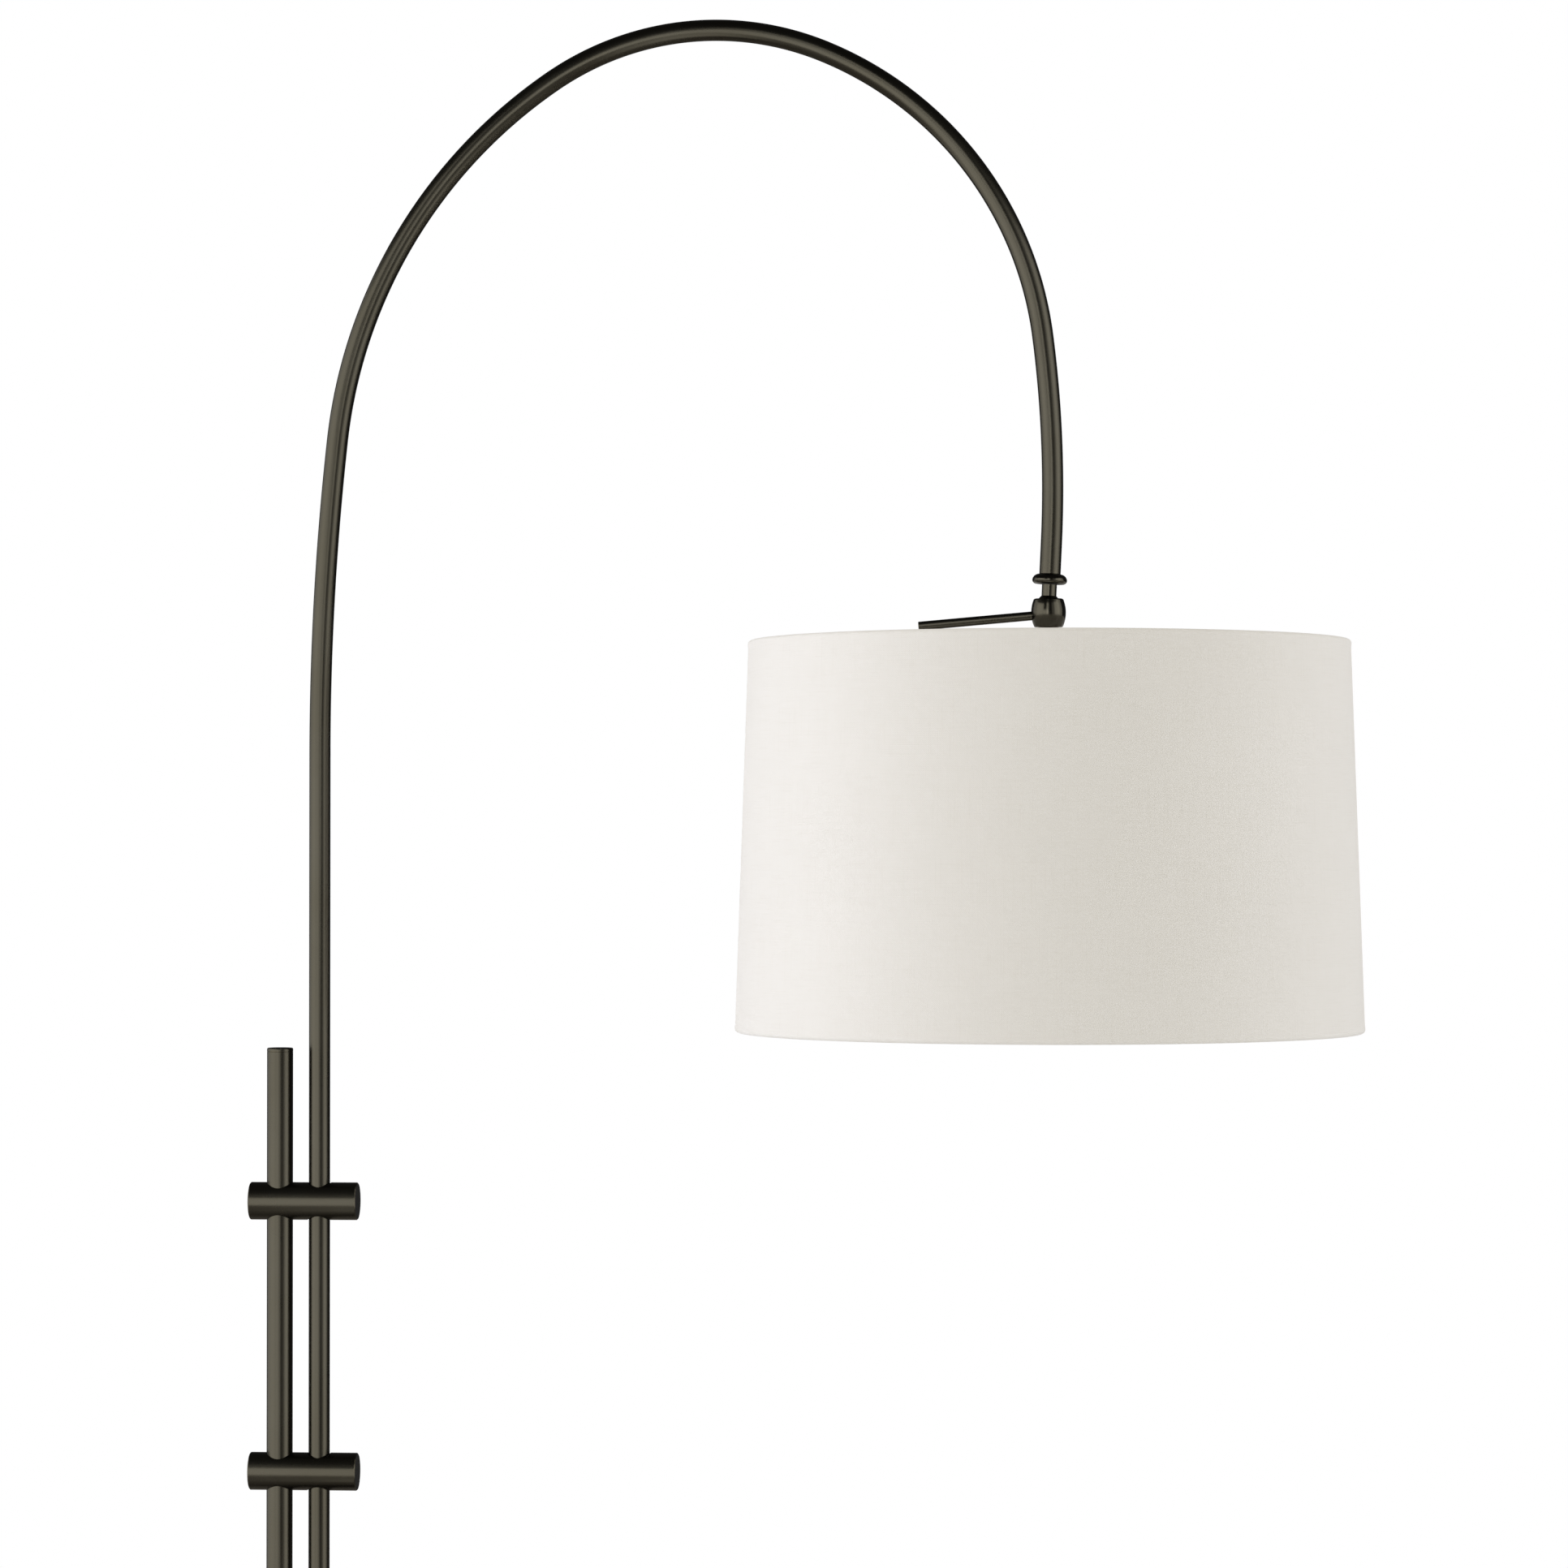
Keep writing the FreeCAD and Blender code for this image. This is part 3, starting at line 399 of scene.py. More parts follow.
FELT = coated("pressed felt", (0.020, 0.020, 0.019, 1), (0.045, 0.044, 0.042, 1), 0.9, 0.0009, 0.0008, 0.004,
              Sheen_Weight=0.6)
NYLON = coated("black nylon", (0.018, 0.018, 0.017, 1), (0.026, 0.026, 0.025, 1), 0.45)
RUBBER = coated("black rubber", (0.014, 0.014, 0.014, 1), (0.022, 0.021, 0.020, 1), 0.7, 0.0006, 0.00004)
LEAD_JACKET = coated("lead insulation", (0.62, 0.56, 0.40, 1), (0.68, 0.62, 0.46, 1), 0.4)
SPLICE_SLEEVE = coated("splice sleeve", (0.02, 0.05, 0.22, 1), (0.03, 0.07, 0.28, 1), 0.35)
POWDER_COAT = coated("white powder coat", (0.78, 0.77, 0.74, 1), (0.84, 0.83, 0.80, 1), 0.42, 0.0012, 0.00005)
BACKING = coated("white backing sheet", (0.83, 0.82, 0.79, 1), (0.87, 0.86, 0.83, 1), 0.55, 0.0015, 0.00003)
FIBRE = coated("pressed fibre", (0.25, 0.15, 0.07, 1), (0.36, 0.23, 0.12, 1), 0.8, 0.0005, 0.00008, 0.003)
PORCELAIN = coated("glazed porcelain", (0.78, 0.77, 0.72, 1), (0.84, 0.83, 0.79, 1), 0.14, 0.004, 0.00002,
                   Coat_Weight=0.5)
KNOB_BLACK = coated("black phenolic", (0.010, 0.008, 0.007, 1), (0.020, 0.016, 0.013, 1), 0.22)
BULB_WHITE = coated("white coated glass", (0.86, 0.86, 0.83, 1), (0.90, 0.90, 0.87, 1), 0.16, 0.006, 0.00001,
                    Coat_Weight=0.8)
tell_finish(FELT, NYLON, RUBBER, LEAD_JACKET, SPLICE_SLEEVE, POWDER_COAT, BACKING, FIBRE, PORCELAIN, KNOB_BLACK,
            BULB_WHITE)

# %% [markdown]
# ## Finishes on the CAD pieces
# The record names a material slot for each node, so a table from slot to finish covers every node at once.
# A node's own mesh stays as it is: only the material in its slot changes.

# %% Finish every CAD node
FINISH_OF_SLOT = {
    "bronze": BRONZE, "zinc_steel": ZINC, "cast_iron": CAST_IRON, "felt": FELT, "nylon": NYLON, "rubber": RUBBER,
    "lead_insulation": LEAD_JACKET, "splice_sleeve": SPLICE_SLEEVE, "brass": BRASS, "shade_wire": POWDER_COAT,
    "linen": LINEN, "shade_backing": BACKING, "cardboard": FIBRE, "porcelain": PORCELAIN, "aluminium": ALUMINIUM,
    "knob_plastic": KNOB_BLACK, "bulb_glass": BULB_WHITE,
}
POLISHED_NODES = ("ball_barrel", "swivel_stem", "arm_end_collar")
SLOT_OF_NODE = {part["node"]: part["material_slot"] for part in frame["record"]["subparts"]}
for node_name, node_object in nodes.items():
    for material_slot in node_object.material_slots:
        polished = node_name in POLISHED_NODES
        material_slot.material = POLISHED_BRONZE if polished else FINISH_OF_SLOT[SLOT_OF_NODE[node_name]]
print(f"{len(set(SLOT_OF_NODE.values()))} finishes on {len(nodes)} nodes")

# %% [markdown]
# ## Mesh helpers
# Turned pieces are an outline spun round an axis. Rounded corners come from a formula, so an outline lists only
# the points its shape needs. A closed outline gives a closed skin whose normals are then made to face outwards.

# %% Helpers for turned pieces
SHARP_FROM = math.radians(32)      # an edge that turns by more than this is shaded sharp


def rounding(centre_r, centre_z, radius, start, end, steps=6):
    """Points of an arc in the outline's plane, from one angle to another, in degrees."""
    turns = [math.radians(start + (end - start) * i / steps) for i in range(steps + 1)]
    return [(centre_r + radius * math.cos(turn), centre_z + radius * math.sin(turn)) for turn in turns]


def in_scene(name, data):
    """A new object of the scene."""
    made = bpy.data.objects.new(name, data)
    bpy.context.scene.collection.objects.link(made)
    return made


def mesh_object(name, mesh, finish):
    """An object whose corners are sharp and whose curves are smooth, in one finish."""
    mesh.set_sharp_from_angle(angle=SHARP_FROM)
    mesh.materials.clear()
    mesh.materials.append(finish)
    return in_scene(name, mesh)


def spun(name, outline, finish, segments=96, place=None):
    """A closed outline of (radius, height), in metres, spun round Z and then put in place by a matrix."""
    shape = bmesh.new()
    on_axis = [radius < 1e-7 for radius, _ in outline]
    rings = []
    for (radius, height), single in zip(outline, on_axis):
        count = 1 if single else segments
        turns = [2 * math.pi * i / segments for i in range(count)]
        rings.append([shape.verts.new((radius * math.cos(t), radius * math.sin(t), height)) for t in turns])
    for ring, after in zip(rings, rings[1:] + rings[:1]):
        if len(ring) == 1 and len(after) == 1:
            continue
        for i in range(segments):
            j = (i + 1) % segments
            corners = [ring[i % len(ring)], ring[j % len(ring)], after[j % len(after)], after[i % len(after)]]
            shape.faces.new(list(dict.fromkeys(corners)))
    bmesh.ops.recalc_face_normals(shape, faces=shape.faces)
    return into_object(name, shape, finish, place)


def into_object(name, shape, finish, place=None):
    """Turns a bmesh into a smooth-shaded object at the origin, with its place in its mesh."""
    if place is not None:
        shape.transform(place)
    mesh = bpy.data.meshes.new(name)
    shape.to_mesh(mesh)
    shape.free()
    mesh.shade_smooth()
    return mesh_object(name, mesh, finish)


def stands_for(piece, node):
    """The piece rides where its CAD node rides and stands for it, and the node is hidden."""
    body = nodes[node]["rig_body"]
    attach(piece, body)
    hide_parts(node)
    print(f"{piece.name}: {len(piece.data.polygons)} faces, on {body}, stands for {node}")
    return piece


print("mesh helpers: rounding, in_scene, mesh_object, spun, into_object, stands_for")

# %% [markdown]
# ## Geometry Nodes helpers
# A Geometry Nodes tree is built from Python like a shader tree. Its sizes are named inputs, set by the socket's
# identifier on the modifier. The result is then read from the evaluated object as a plain mesh.

# %% Helpers for Geometry Nodes
def start_shape_tree(name, sizes):
    """A Geometry Nodes tree with a geometry input and output and named sizes: a whole number or a length."""
    tree = bpy.data.node_groups.new(name, "GeometryNodeTree")
    tree.interface.new_socket("Geometry", in_out="INPUT", socket_type="NodeSocketGeometry")
    for title, value in sizes.items():
        kind = "NodeSocketInt" if isinstance(value, int) else "NodeSocketFloat"
        tree.interface.new_socket(title, in_out="INPUT", socket_type=kind).default_value = value
    tree.interface.new_socket("Geometry", in_out="OUTPUT", socket_type="NodeSocketGeometry")
    return tree, tree.nodes.new("NodeGroupInput").outputs, tree.nodes.new("NodeGroupOutput").inputs


def swept(tree, curve, radius, sides, caps=True):
    """A circle carried along a curve."""
    ring = add(tree, "GeometryNodeCurvePrimitiveCircle", {"Radius": radius, "Resolution": sides}).outputs[0]
    sweep = {"Curve": curve, "Profile Curve": ring, "Fill Caps": caps}
    return add(tree, "GeometryNodeCurveToMesh", sweep).outputs[0]


def joined(tree, *parts):
    join = tree.nodes.new("GeometryNodeJoinGeometry")
    for part in parts:
        tree.links.new(part, join.inputs[0])
    return join.outputs[0]


def end_shape_tree(tree, geometry, out, finish):
    """Realize Instances, smooth shading and Set Material, which every tree here ends in."""
    real = add(tree, "GeometryNodeRealizeInstances", {"Geometry": geometry}).outputs[0]
    smooth = add(tree, "GeometryNodeSetShadeSmooth", {"Geometry": real}).outputs[0]
    final = add(tree, "GeometryNodeSetMaterial", {"Geometry": smooth, "Material": finish}).outputs[0]
    tree.links.new(final, out["Geometry"])
    return tree


def grown(name, source, tree, finish, **sizes):
    """Runs a tree on a source object and returns the result as a plain mesh object. The source is used up."""
    modifier = source.modifiers.new("grow", "NODES")
    modifier.node_group = tree
    identifiers = {socket.name: socket.identifier for socket in tree.interface.items_tree
                   if socket.in_out == "INPUT"}
    for key, value in sizes.items():
        modifier[identifiers[key.replace("_", " ")]] = value
    graph = bpy.context.evaluated_depsgraph_get()
    mesh = bpy.data.meshes.new_from_object(source.evaluated_get(graph), depsgraph=graph)
    bpy.data.objects.remove(source)
    mesh.name = name
    return mesh_object(name, mesh, finish)


def path_object(name, points):
    """A plain curve through points, as the source of a swept shape."""
    curve = bpy.data.curves.new(name, "CURVE")
    curve.dimensions = "3D"
    spline = curve.splines.new("POLY")
    spline.points.add(len(points) - 1)
    for target, point in zip(spline.points, points):
        target.co = (*point, 1)
    return in_scene(name, curve)


print("Geometry Nodes helpers: start_shape_tree, swept, joined, end_shape_tree, grown, path_object")

# %% [markdown]
# ## The arched tube
# The tube is bent cold on a roller bender, so it is straight runs and arcs that meet without a kink.
# Its axis is worked out from the bending list, one short step at a time, and a tree sweeps a circle along it.
# Solidify then gives the wall its thickness inwards, so the open ends are closed rings.

# %% The tube's axis and its sweep
END_EDGE = 0.5 * MM        # the ends' shading turns over within this length, like a broken edge


def square_to(heading):
    """The unit vector at right angles to a heading in degrees, on the side the tube bends to."""
    turn = math.radians(heading)
    return Vector((math.sin(turn), 0, -math.cos(turn)))


def tube_axis(step=4 * MM):
    """Points on the tube's axis, from its lower end to the end at the shade."""
    low, _, _ = box_of("arm_tube")
    points = [Vector((ARM_X, 0, height)) for height in (low.z, low.z + END_EDGE, ARM_BEND_Z)]
    heading = 90.0
    for radius, sweep in ARM_BENDS:
        count = max(2, round(radius * math.radians(sweep) / step))
        centre = points[-1] + radius * square_to(heading)
        points += [centre - radius * square_to(heading - sweep * (i + 1) / count) for i in range(count)]
        heading -= sweep
    last, ahead = points[-1], square_to(heading + 90)
    return points + [last + ahead * (ARM_END_RUN - END_EDGE), last + ahead * ARM_END_RUN]


def sweep_tree(finish):
    tree, size, out = start_shape_tree("sweep a tube", {"Radius": 0.009, "Sides": 64})
    tube = swept(tree, size["Geometry"], size["Radius"], size["Sides"], caps=False)
    return end_shape_tree(tree, tube, out, finish)


AXIS = tube_axis()
arched_tube = grown("arched_tube", path_object("tube axis", AXIS), sweep_tree(BRONZE), BRONZE, Radius=ARM_TUBE_R)
wall = arched_tube.modifiers.new("tube wall", "SOLIDIFY")
wall.thickness = ARM_WALL
wall.offset = -1
stands_for(arched_tube, "arm_tube")
print(f"axis has {len(AXIS)} points and ends {(AXIS[-1] - TUBE_END).length / MM:.3f} mm from the CAD tube's end")

# %% [markdown]
# ## The post
# A length of seven-eighths tube, sawn square. Its CAD mesh is faceted for speed, so it is spun again with more
# sides, and its sawn ends get a small broken edge, as a file leaves.

# %% The post's tube
def post_body(wall=1.6 * MM, edge=0.3 * MM):
    low, high, middle = box_of("post_tube")
    outer = (high.y - low.y) / 2
    inner = outer - wall
    outline = [
        (inner, low.z), (outer - edge, low.z), (outer, low.z + edge),
        (outer, high.z - edge), (outer - edge, high.z), (inner, high.z)]
    return spun("post_body", outline, BRONZE, place=Matrix.Translation((middle.x, middle.y, 0)))


stands_for(post_body(), "post_tube")

# %% [markdown]
# ## Knurled screws and knobs
# A thumbscrew's grip is cut with fine straight ribs. The screw is spun from its outline, and a tree sets a rib at
# every step round the grip. The same tree, with fewer and fatter ribs, makes the switch knob.

# %% Ribs round a grip
def ribbed_tree(finish):
    """Joins the input shape to upright ribs that stand in a ring round Z."""
    sizes = {"Ribs": 36, "Ring radius": 0.009, "Rib radius": 0.0004, "Rib length": 0.008, "Rib height": 0.0}
    tree, size, out = start_shape_tree("ribs round a grip", sizes)
    ring = add(tree, "GeometryNodeMeshCircle", {"Vertices": size["Ribs"], "Radius": size["Ring radius"]})
    rib = add(tree, "GeometryNodeMeshCylinder",
              {"Vertices": 8, "Radius": size["Rib radius"], "Depth": size["Rib length"]})
    set_ribs = add(tree, "GeometryNodeInstanceOnPoints", {"Points": ring.outputs[0], "Instance": rib.outputs[0]})
    raised = add(tree, "GeometryNodeTranslateInstances",
                 {"Instances": set_ribs.outputs[0], "Translation": vector(tree, Z=size["Rib height"])})
    return end_shape_tree(tree, joined(tree, raised.outputs[0], size["Geometry"]), out, finish)


BRONZE_RIBS = ribbed_tree(BRONZE)
KNOB_RIBS = ribbed_tree(KNOB_BLACK)
print(f"rib trees: {BRONZE_RIBS.name}, {KNOB_RIBS.name}")

# %% [markdown]
# The screws point to the lamp's back, so each is spun upright at the origin and then laid over by a matrix.
# Their sizes are those of the CAD solids: a 6 mm shank, a shoulder that nearly meets the bar, and an 18 mm grip.

# %% Thumbscrews
SHANK_R = 3 * MM
SHOULDER_R, SHOULDER_LONG = 5.5 * MM, 3 * MM
GRIP_R, GRIP_LONG = 8.6 * MM, 10.6 * MM
GRIP_LOW_EDGE, GRIP_TOP_EDGE = 0.8 * MM, 1.6 * MM
DISH_R, DISH_DEEP = 3.6 * MM, 0.6 * MM


def laid_back(shape, node):
    """Turns an upright shape so that its Z runs to the lamp's back, on its CAD node's axis."""
    _, _, middle = box_of(node)
    shape.data.transform(Matrix.Translation((middle.x, 0, middle.z)) @ Matrix.Rotation(-math.pi / 2, 4, "X"))
    return shape


def thumbscrew(name, node):
    low, high, _ = box_of(node)
    tip, end = low.y, high.y
    grip = end - GRIP_LONG
    outline = [
        (0, tip), (SHANK_R - 0.5 * MM, tip), (SHANK_R, tip + 0.5 * MM), (SHANK_R, grip - SHOULDER_LONG),
        (SHOULDER_R, grip - SHOULDER_LONG), (SHOULDER_R, grip - 1 * MM), (GRIP_R - 1 * MM, grip)]
    outline += rounding(GRIP_R - GRIP_LOW_EDGE, grip + GRIP_LOW_EDGE, GRIP_LOW_EDGE, -90, 0)
    outline += rounding(GRIP_R - GRIP_TOP_EDGE, end - GRIP_TOP_EDGE, GRIP_TOP_EDGE, 0, 90)
    outline += [(DISH_R + DISH_DEEP, end), (DISH_R, end - DISH_DEEP), (0, end - DISH_DEEP)]
    body = spun(name + " body", outline, BRONZE, 72)
    ribs = {"Ribs": 44, "Ring radius": GRIP_R, "Rib radius": 0.38 * MM, "Rib length": GRIP_LONG - 3.4 * MM,
            "Rib height": (grip + end) / 2 - 0.2 * MM}
    screw = grown(name, body, BRONZE_RIBS, BRONZE, **ribs)
    return stands_for(laid_back(screw, node), node)


for place_word in ("upper", "lower"):
    thumbscrew(place_word + "_knurled_screw", place_word + "_thumbscrew")

# %% [markdown]
# ## The linen cover
# The cover is one strip of laminated cloth. It is rolled over a wire ring at each rim and tucked in behind it, and
# its two ends overlap at the lamp's back in a glued seam.
# The section is a path: up the inner tuck, over the top wire, down the wall and round the lower wire. Each point
# is pushed out along the section's normal where the ends overlap, so the seam is a true step in the cloth.

# %% The cover's section
shade_low, shade_high, shade_middle = box_of("shade_fabric")
SHADE_PLACE = Matrix.Translation((shade_middle.x, shade_middle.y, 0))
TOP_R = box_of("shade_spider")[1].x - shade_middle.x + 1.7 * MM
LOW_R = shade_high.x - shade_middle.x
ROLL = 2.9 * MM            # wire's middle to the cloth's middle
WALL_INSET = 0.35 * MM     # the wall lies this far inside the rolled rims
TUCK = 9 * MM
CLOTH_T = 0.6 * MM
TOP_WIRE = (TOP_R - 3.2 * MM, shade_high.z - 3.2 * MM)
LOW_WIRE = (LOW_R - 3.2 * MM, shade_low.z + 3.2 * MM)


def cover_section(rows=44):
    """The cloth's middle line, from the upper tuck's edge to the lower tuck's edge."""
    (top_r, top_z), (low_r, low_z) = TOP_WIRE, LOW_WIRE
    section = [(top_r - ROLL, top_z - TUCK * (1 - i / 4)) for i in range(4)]
    section += rounding(top_r, top_z, ROLL, 180, 0, 14)
    wall_top = (top_r + ROLL - WALL_INSET, top_z - 3 * MM)
    wall_low = (low_r + ROLL - WALL_INSET, low_z + 3 * MM)
    section.append(((top_r + ROLL + wall_top[0]) / 2 + 0.1 * MM, top_z - 1.4 * MM))
    for i in range(rows + 1):
        share = i / rows
        section.append(tuple(a + (b - a) * share for a, b in zip(wall_top, wall_low)))
    section.append(((low_r + ROLL + wall_low[0]) / 2 + 0.1 * MM, low_z + 1.4 * MM))
    section += rounding(low_r, low_z, ROLL, 0, -180, 14)
    section += [(low_r - ROLL, low_z + TUCK * (i + 1) / 4) for i in range(4)]
    return section


def lengths_along(section):
    """Distance along a section to each of its points."""
    total, run = 0.0, [0.0]
    for (r0, z0), (r1, z1) in zip(section, section[1:]):
        total += math.hypot(r1 - r0, z1 - z0)
        run.append(total)
    return run


def outward_normals(section):
    """Unit normals of a section in its plane, on the side away from the wires."""
    normals = []
    for i in range(len(section)):
        (r0, z0), (r1, z1) = section[max(i - 1, 0)], section[min(i + 1, len(section) - 1)]
        dr, dz = r1 - r0, z1 - z0
        size = math.hypot(dr, dz)
        normals.append((-dz / size, dr / size))
    return normals


SECTION = cover_section()
print(f"the section has {len(SECTION)} points over {lengths_along(SECTION)[-1]:.4f} m of cloth")

# %% [markdown]
# The strip starts and ends at the back, a seam's width past a full turn. The last stretch rises over the first in
# a gentle ramp. The tuck is cut away where a spider arm passes, as a shade maker snips it.

# %% The cover as a strip of cloth
SEAM_W = 12 * MM
SEAM_STEP = 0.75 * MM
SEAM_TURN = math.pi / 2
WAVE = 0.12 * MM           # the hand-rolled cloth strays this far from a true circle
SNIP_HALF = 3.5 * MM
SNIP_ROWS = 4
SPIDER_TURNS = [math.radians(angle) for angle in (90, 210, 330)]


def smooth_step(value):
    value = min(1.0, max(0.0, value))
    return value * value * (3 - 2 * value)


def near_spider(turn, half_width):
    return any(abs((turn - arm + math.pi) % (2 * math.pi) - math.pi) < half_width for arm in SPIDER_TURNS)


def cover_strip(name, section, segments=300):
    """The section carried round the shade as one open strip, with a map in metres of cloth."""
    normals, run = outward_normals(section), lengths_along(section)
    mean_r = (TOP_R + LOW_R) / 2
    overlap = SEAM_W / mean_r
    turns = [2 * math.pi * i / segments for i in range(segments)]
    turns += [2 * math.pi + overlap * i / 4 for i in range(5)]
    strip = bmesh.new()
    cloth_map = strip.loops.layers.uv.new("cloth")
    columns = []
    for turn in turns:
        rise = SEAM_STEP * smooth_step((turn - 2 * math.pi) / overlap * 2.5 + 1.6)
        drift = WAVE * (math.sin(3 * turn + 0.4) + 0.6 * math.sin(7 * turn + 2.1))
        angle = SEAM_TURN - overlap / 2 + turn
        column = []
        for (r, z), (out_r, out_z) in zip(section, normals):
            radius = r + out_r * rise + drift
            column.append(strip.verts.new((radius * math.cos(angle), radius * math.sin(angle), z + out_z * rise)))
        columns.append(column)
    for k, (column, after) in enumerate(zip(columns, columns[1:])):
        middle_turn = SEAM_TURN - overlap / 2 + (turns[k] + turns[k + 1]) / 2
        snipped = near_spider(middle_turn, SNIP_HALF / TOP_R)
        for i in range(SNIP_ROWS if snipped else 0, len(section) - 1):
            face = strip.faces.new((column[i], after[i], after[i + 1], column[i + 1]))
            for loop, (t, row) in zip(face.loops, ((k, i), (k + 1, i), (k + 1, i + 1), (k, i + 1))):
                loop[cloth_map].uv = (turns[t] * mean_r, run[row])
    left_over = [corner for corner in strip.verts if not corner.link_faces]
    bmesh.ops.delete(strip, geom=left_over, context="VERTS")
    return into_object(name, strip, LINEN, SHADE_PLACE)


linen_cover = cover_strip("linen_cover", SECTION)
cloth = linen_cover.modifiers.new("cloth thickness", "SOLIDIFY")
cloth.thickness = CLOTH_T
cloth.offset = 0
stands_for(linen_cover, "shade_fabric")

# %% [markdown]
# ### Behind the cloth
# The backing sheet is a plain truncated cone of white plastic film just inside the cloth, from wire to wire.
# Each rim wire is steel rod, welded into a ring.

# %% Backing sheet and lower rim wire
WIRE_R = 1.5 * MM
SHADE_SEGMENTS = 240


def backing_sheet():
    gap, thick, hold = 0.45 * MM, 0.7 * MM, 1 * MM
    (top_r, top_z), (low_r, low_z) = TOP_WIRE, LOW_WIRE
    outer_top, outer_low = top_r + ROLL - WALL_INSET - gap, low_r + ROLL - WALL_INSET - gap
    outside = ((outer_top, top_z - hold), (outer_low, low_z + hold))
    inside = ((outer_low - thick, low_z + hold), (outer_top - thick, top_z - hold))
    steps = 24
    outline = [(a[0] + (b[0] - a[0]) * i / steps, a[1] + (b[1] - a[1]) * i / steps)
               for a, b in (outside, inside) for i in range(steps + 1)]
    return spun("backing_sheet", outline, BACKING, SHADE_SEGMENTS, SHADE_PLACE)


def wire_ring(name, wire, place=None):
    return spun(name, rounding(*wire, WIRE_R, 0, 330, 11), POWDER_COAT, SHADE_SEGMENTS, place)


stands_for(backing_sheet(), "shade_liner")
lower_wire = stands_for(wire_ring("lower_rim_wire", LOW_WIRE, SHADE_PLACE), "shade_bottom_wire")

# %% [markdown]
# ## The spider
# Three arms of steel rod run from a bored hub out to the top rim wire and are welded at both ends.
# The arms repeat, so a tree makes one rod with its weld beads and sets it three times round the axis.

# %% Spider
def spider_tree(finish):
    sizes = {"Arms": 3, "Rod radius": 0.0018, "Reach": 0.25, "Start": 0.013, "Start height": 0.0,
             "End height": 0.0, "Bead radius": 0.0026}
    tree, size, out = start_shape_tree("spider arms", sizes)
    low = vector(tree, X=size["Start"], Z=size["Start height"])
    high = vector(tree, X=size["Reach"], Z=size["End height"])
    line = add(tree, "GeometryNodeCurvePrimitiveLine", {"Start": low, "End": high}).outputs[0]
    one_arm = [swept(tree, line, size["Rod radius"], 20)]
    for end in (low, high):
        ball = add(tree, "GeometryNodeMeshUVSphere", {"Segments": 16, "Rings": 10, "Radius": size["Bead radius"]})
        bead = add(tree, "GeometryNodeTransform", {"Geometry": ball.outputs[0], "Translation": end})
        one_arm.append(bead.outputs[0])
    spots = add(tree, "GeometryNodeMeshLine", {"Count": size["Arms"], "Offset": (0, 0, 0)}).outputs[0]
    index = add(tree, "GeometryNodeInputIndex").outputs[0]
    angle = maths(tree, "MULTIPLY", maths(tree, "DIVIDE", index, size["Arms"]), 2 * math.pi)
    turn = vector(tree, Z=maths(tree, "ADD", angle, math.pi / 2))
    arms = add(tree, "GeometryNodeInstanceOnPoints",
               {"Points": spots, "Instance": joined(tree, *one_arm), "Rotation": turn}).outputs[0]
    return end_shape_tree(tree, joined(tree, arms, size["Geometry"]), out, finish)


def spider_hub_and_ring(hub_low, hub_high):
    """The bored hub and the top rim wire, as one mesh."""
    hub_r, bore_r, edge = 15 * MM, 5 * MM, 0.5 * MM
    hub = spun("hub", [
        (bore_r, hub_low), (hub_r - edge, hub_low), (hub_r, hub_low + edge), (hub_r, hub_high - edge),
        (hub_r - edge, hub_high), (bore_r, hub_high)], POWDER_COAT, 64)
    both = bmesh.new()
    for part in (hub, wire_ring("ring", TOP_WIRE)):
        both.from_mesh(part.data)
        bpy.data.objects.remove(part)
    return into_object("hub and ring", both, POWDER_COAT)


HUB_HIGH = box_of("spacer_sleeve")[0].z
HUB_LOW = box_of("holder_cap")[1].z
spider = grown("spider", spider_hub_and_ring(HUB_LOW, HUB_HIGH), spider_tree(POWDER_COAT), POWDER_COAT,
               Reach=TOP_WIRE[0], Start_height=(HUB_LOW + HUB_HIGH) / 2, End_height=TOP_WIRE[1])
spider.data.transform(SHADE_PLACE)
stands_for(spider, "shade_spider")

# %% [markdown]
# The cover was cut flat, as a strip a little longer than the shade's girth, and it is stretched between its two
# wires.
# The cut is a shallow arc of a ring, because the shade widens downwards. Here the cloth's height along the section
# is worked out.

cloth_height = lengths_along(SECTION)[-1]

# %% [markdown]
# ## The bulb
# A pear-shaped bulb with a white coat inside the glass, on a pressed aluminium screw cap.
# The glass is spun from its outline. The thread is a ridge that climbs round the cap, so a tree makes it from a
# spiral, as wide as the CAD cap allows.

# %% Bulb glass
NECK_R, NECK_LONG = 12.1 * MM, 14 * MM
FLARE_UP = 21 * MM         # the flare meets the globe this far above its middle
GLASS_T = 0.8 * MM


def bulb_glass():
    low, high, middle = box_of("bulb_glass")
    glass_r = (high.x - low.x) / 2
    centre_z = low.z + glass_r
    neck_low = high.z - NECK_LONG
    meet_z = centre_z + FLARE_UP
    meet_r = math.sqrt(glass_r ** 2 - (meet_z - centre_z) ** 2)
    start = math.degrees(math.atan2(meet_z - centre_z, meet_r))
    outline = [(NECK_R, high.z), (NECK_R, neck_low)]
    steps = 14
    for i in range(1, steps):
        share = i / steps
        flare = NECK_R + (meet_r - NECK_R) * share ** 1.7
        outline.append((flare, neck_low + (meet_z - neck_low) * share))
    outline += rounding(0, centre_z, glass_r, start, -90, 26)[:-1] + [(0, low.z)]
    inner = [(max(0, r - GLASS_T), z + (GLASS_T if z < centre_z else 0)) for r, z in reversed(outline[:-1])]
    outline += [(0, low.z + GLASS_T)] + inner[1:]
    return spun("pear_bulb", outline, BULB_WHITE, 80, Matrix.Translation((middle.x, middle.y, 0)))


stands_for(bulb_glass(), "bulb_glass")

# %% [markdown]
# The cap is pressed from thin aluminium, and its thread is rolled: one ridge that climbs round the shell.
# A spiral curve from a node, swept by a small circle, follows that rule exactly, so no turn is placed by hand.

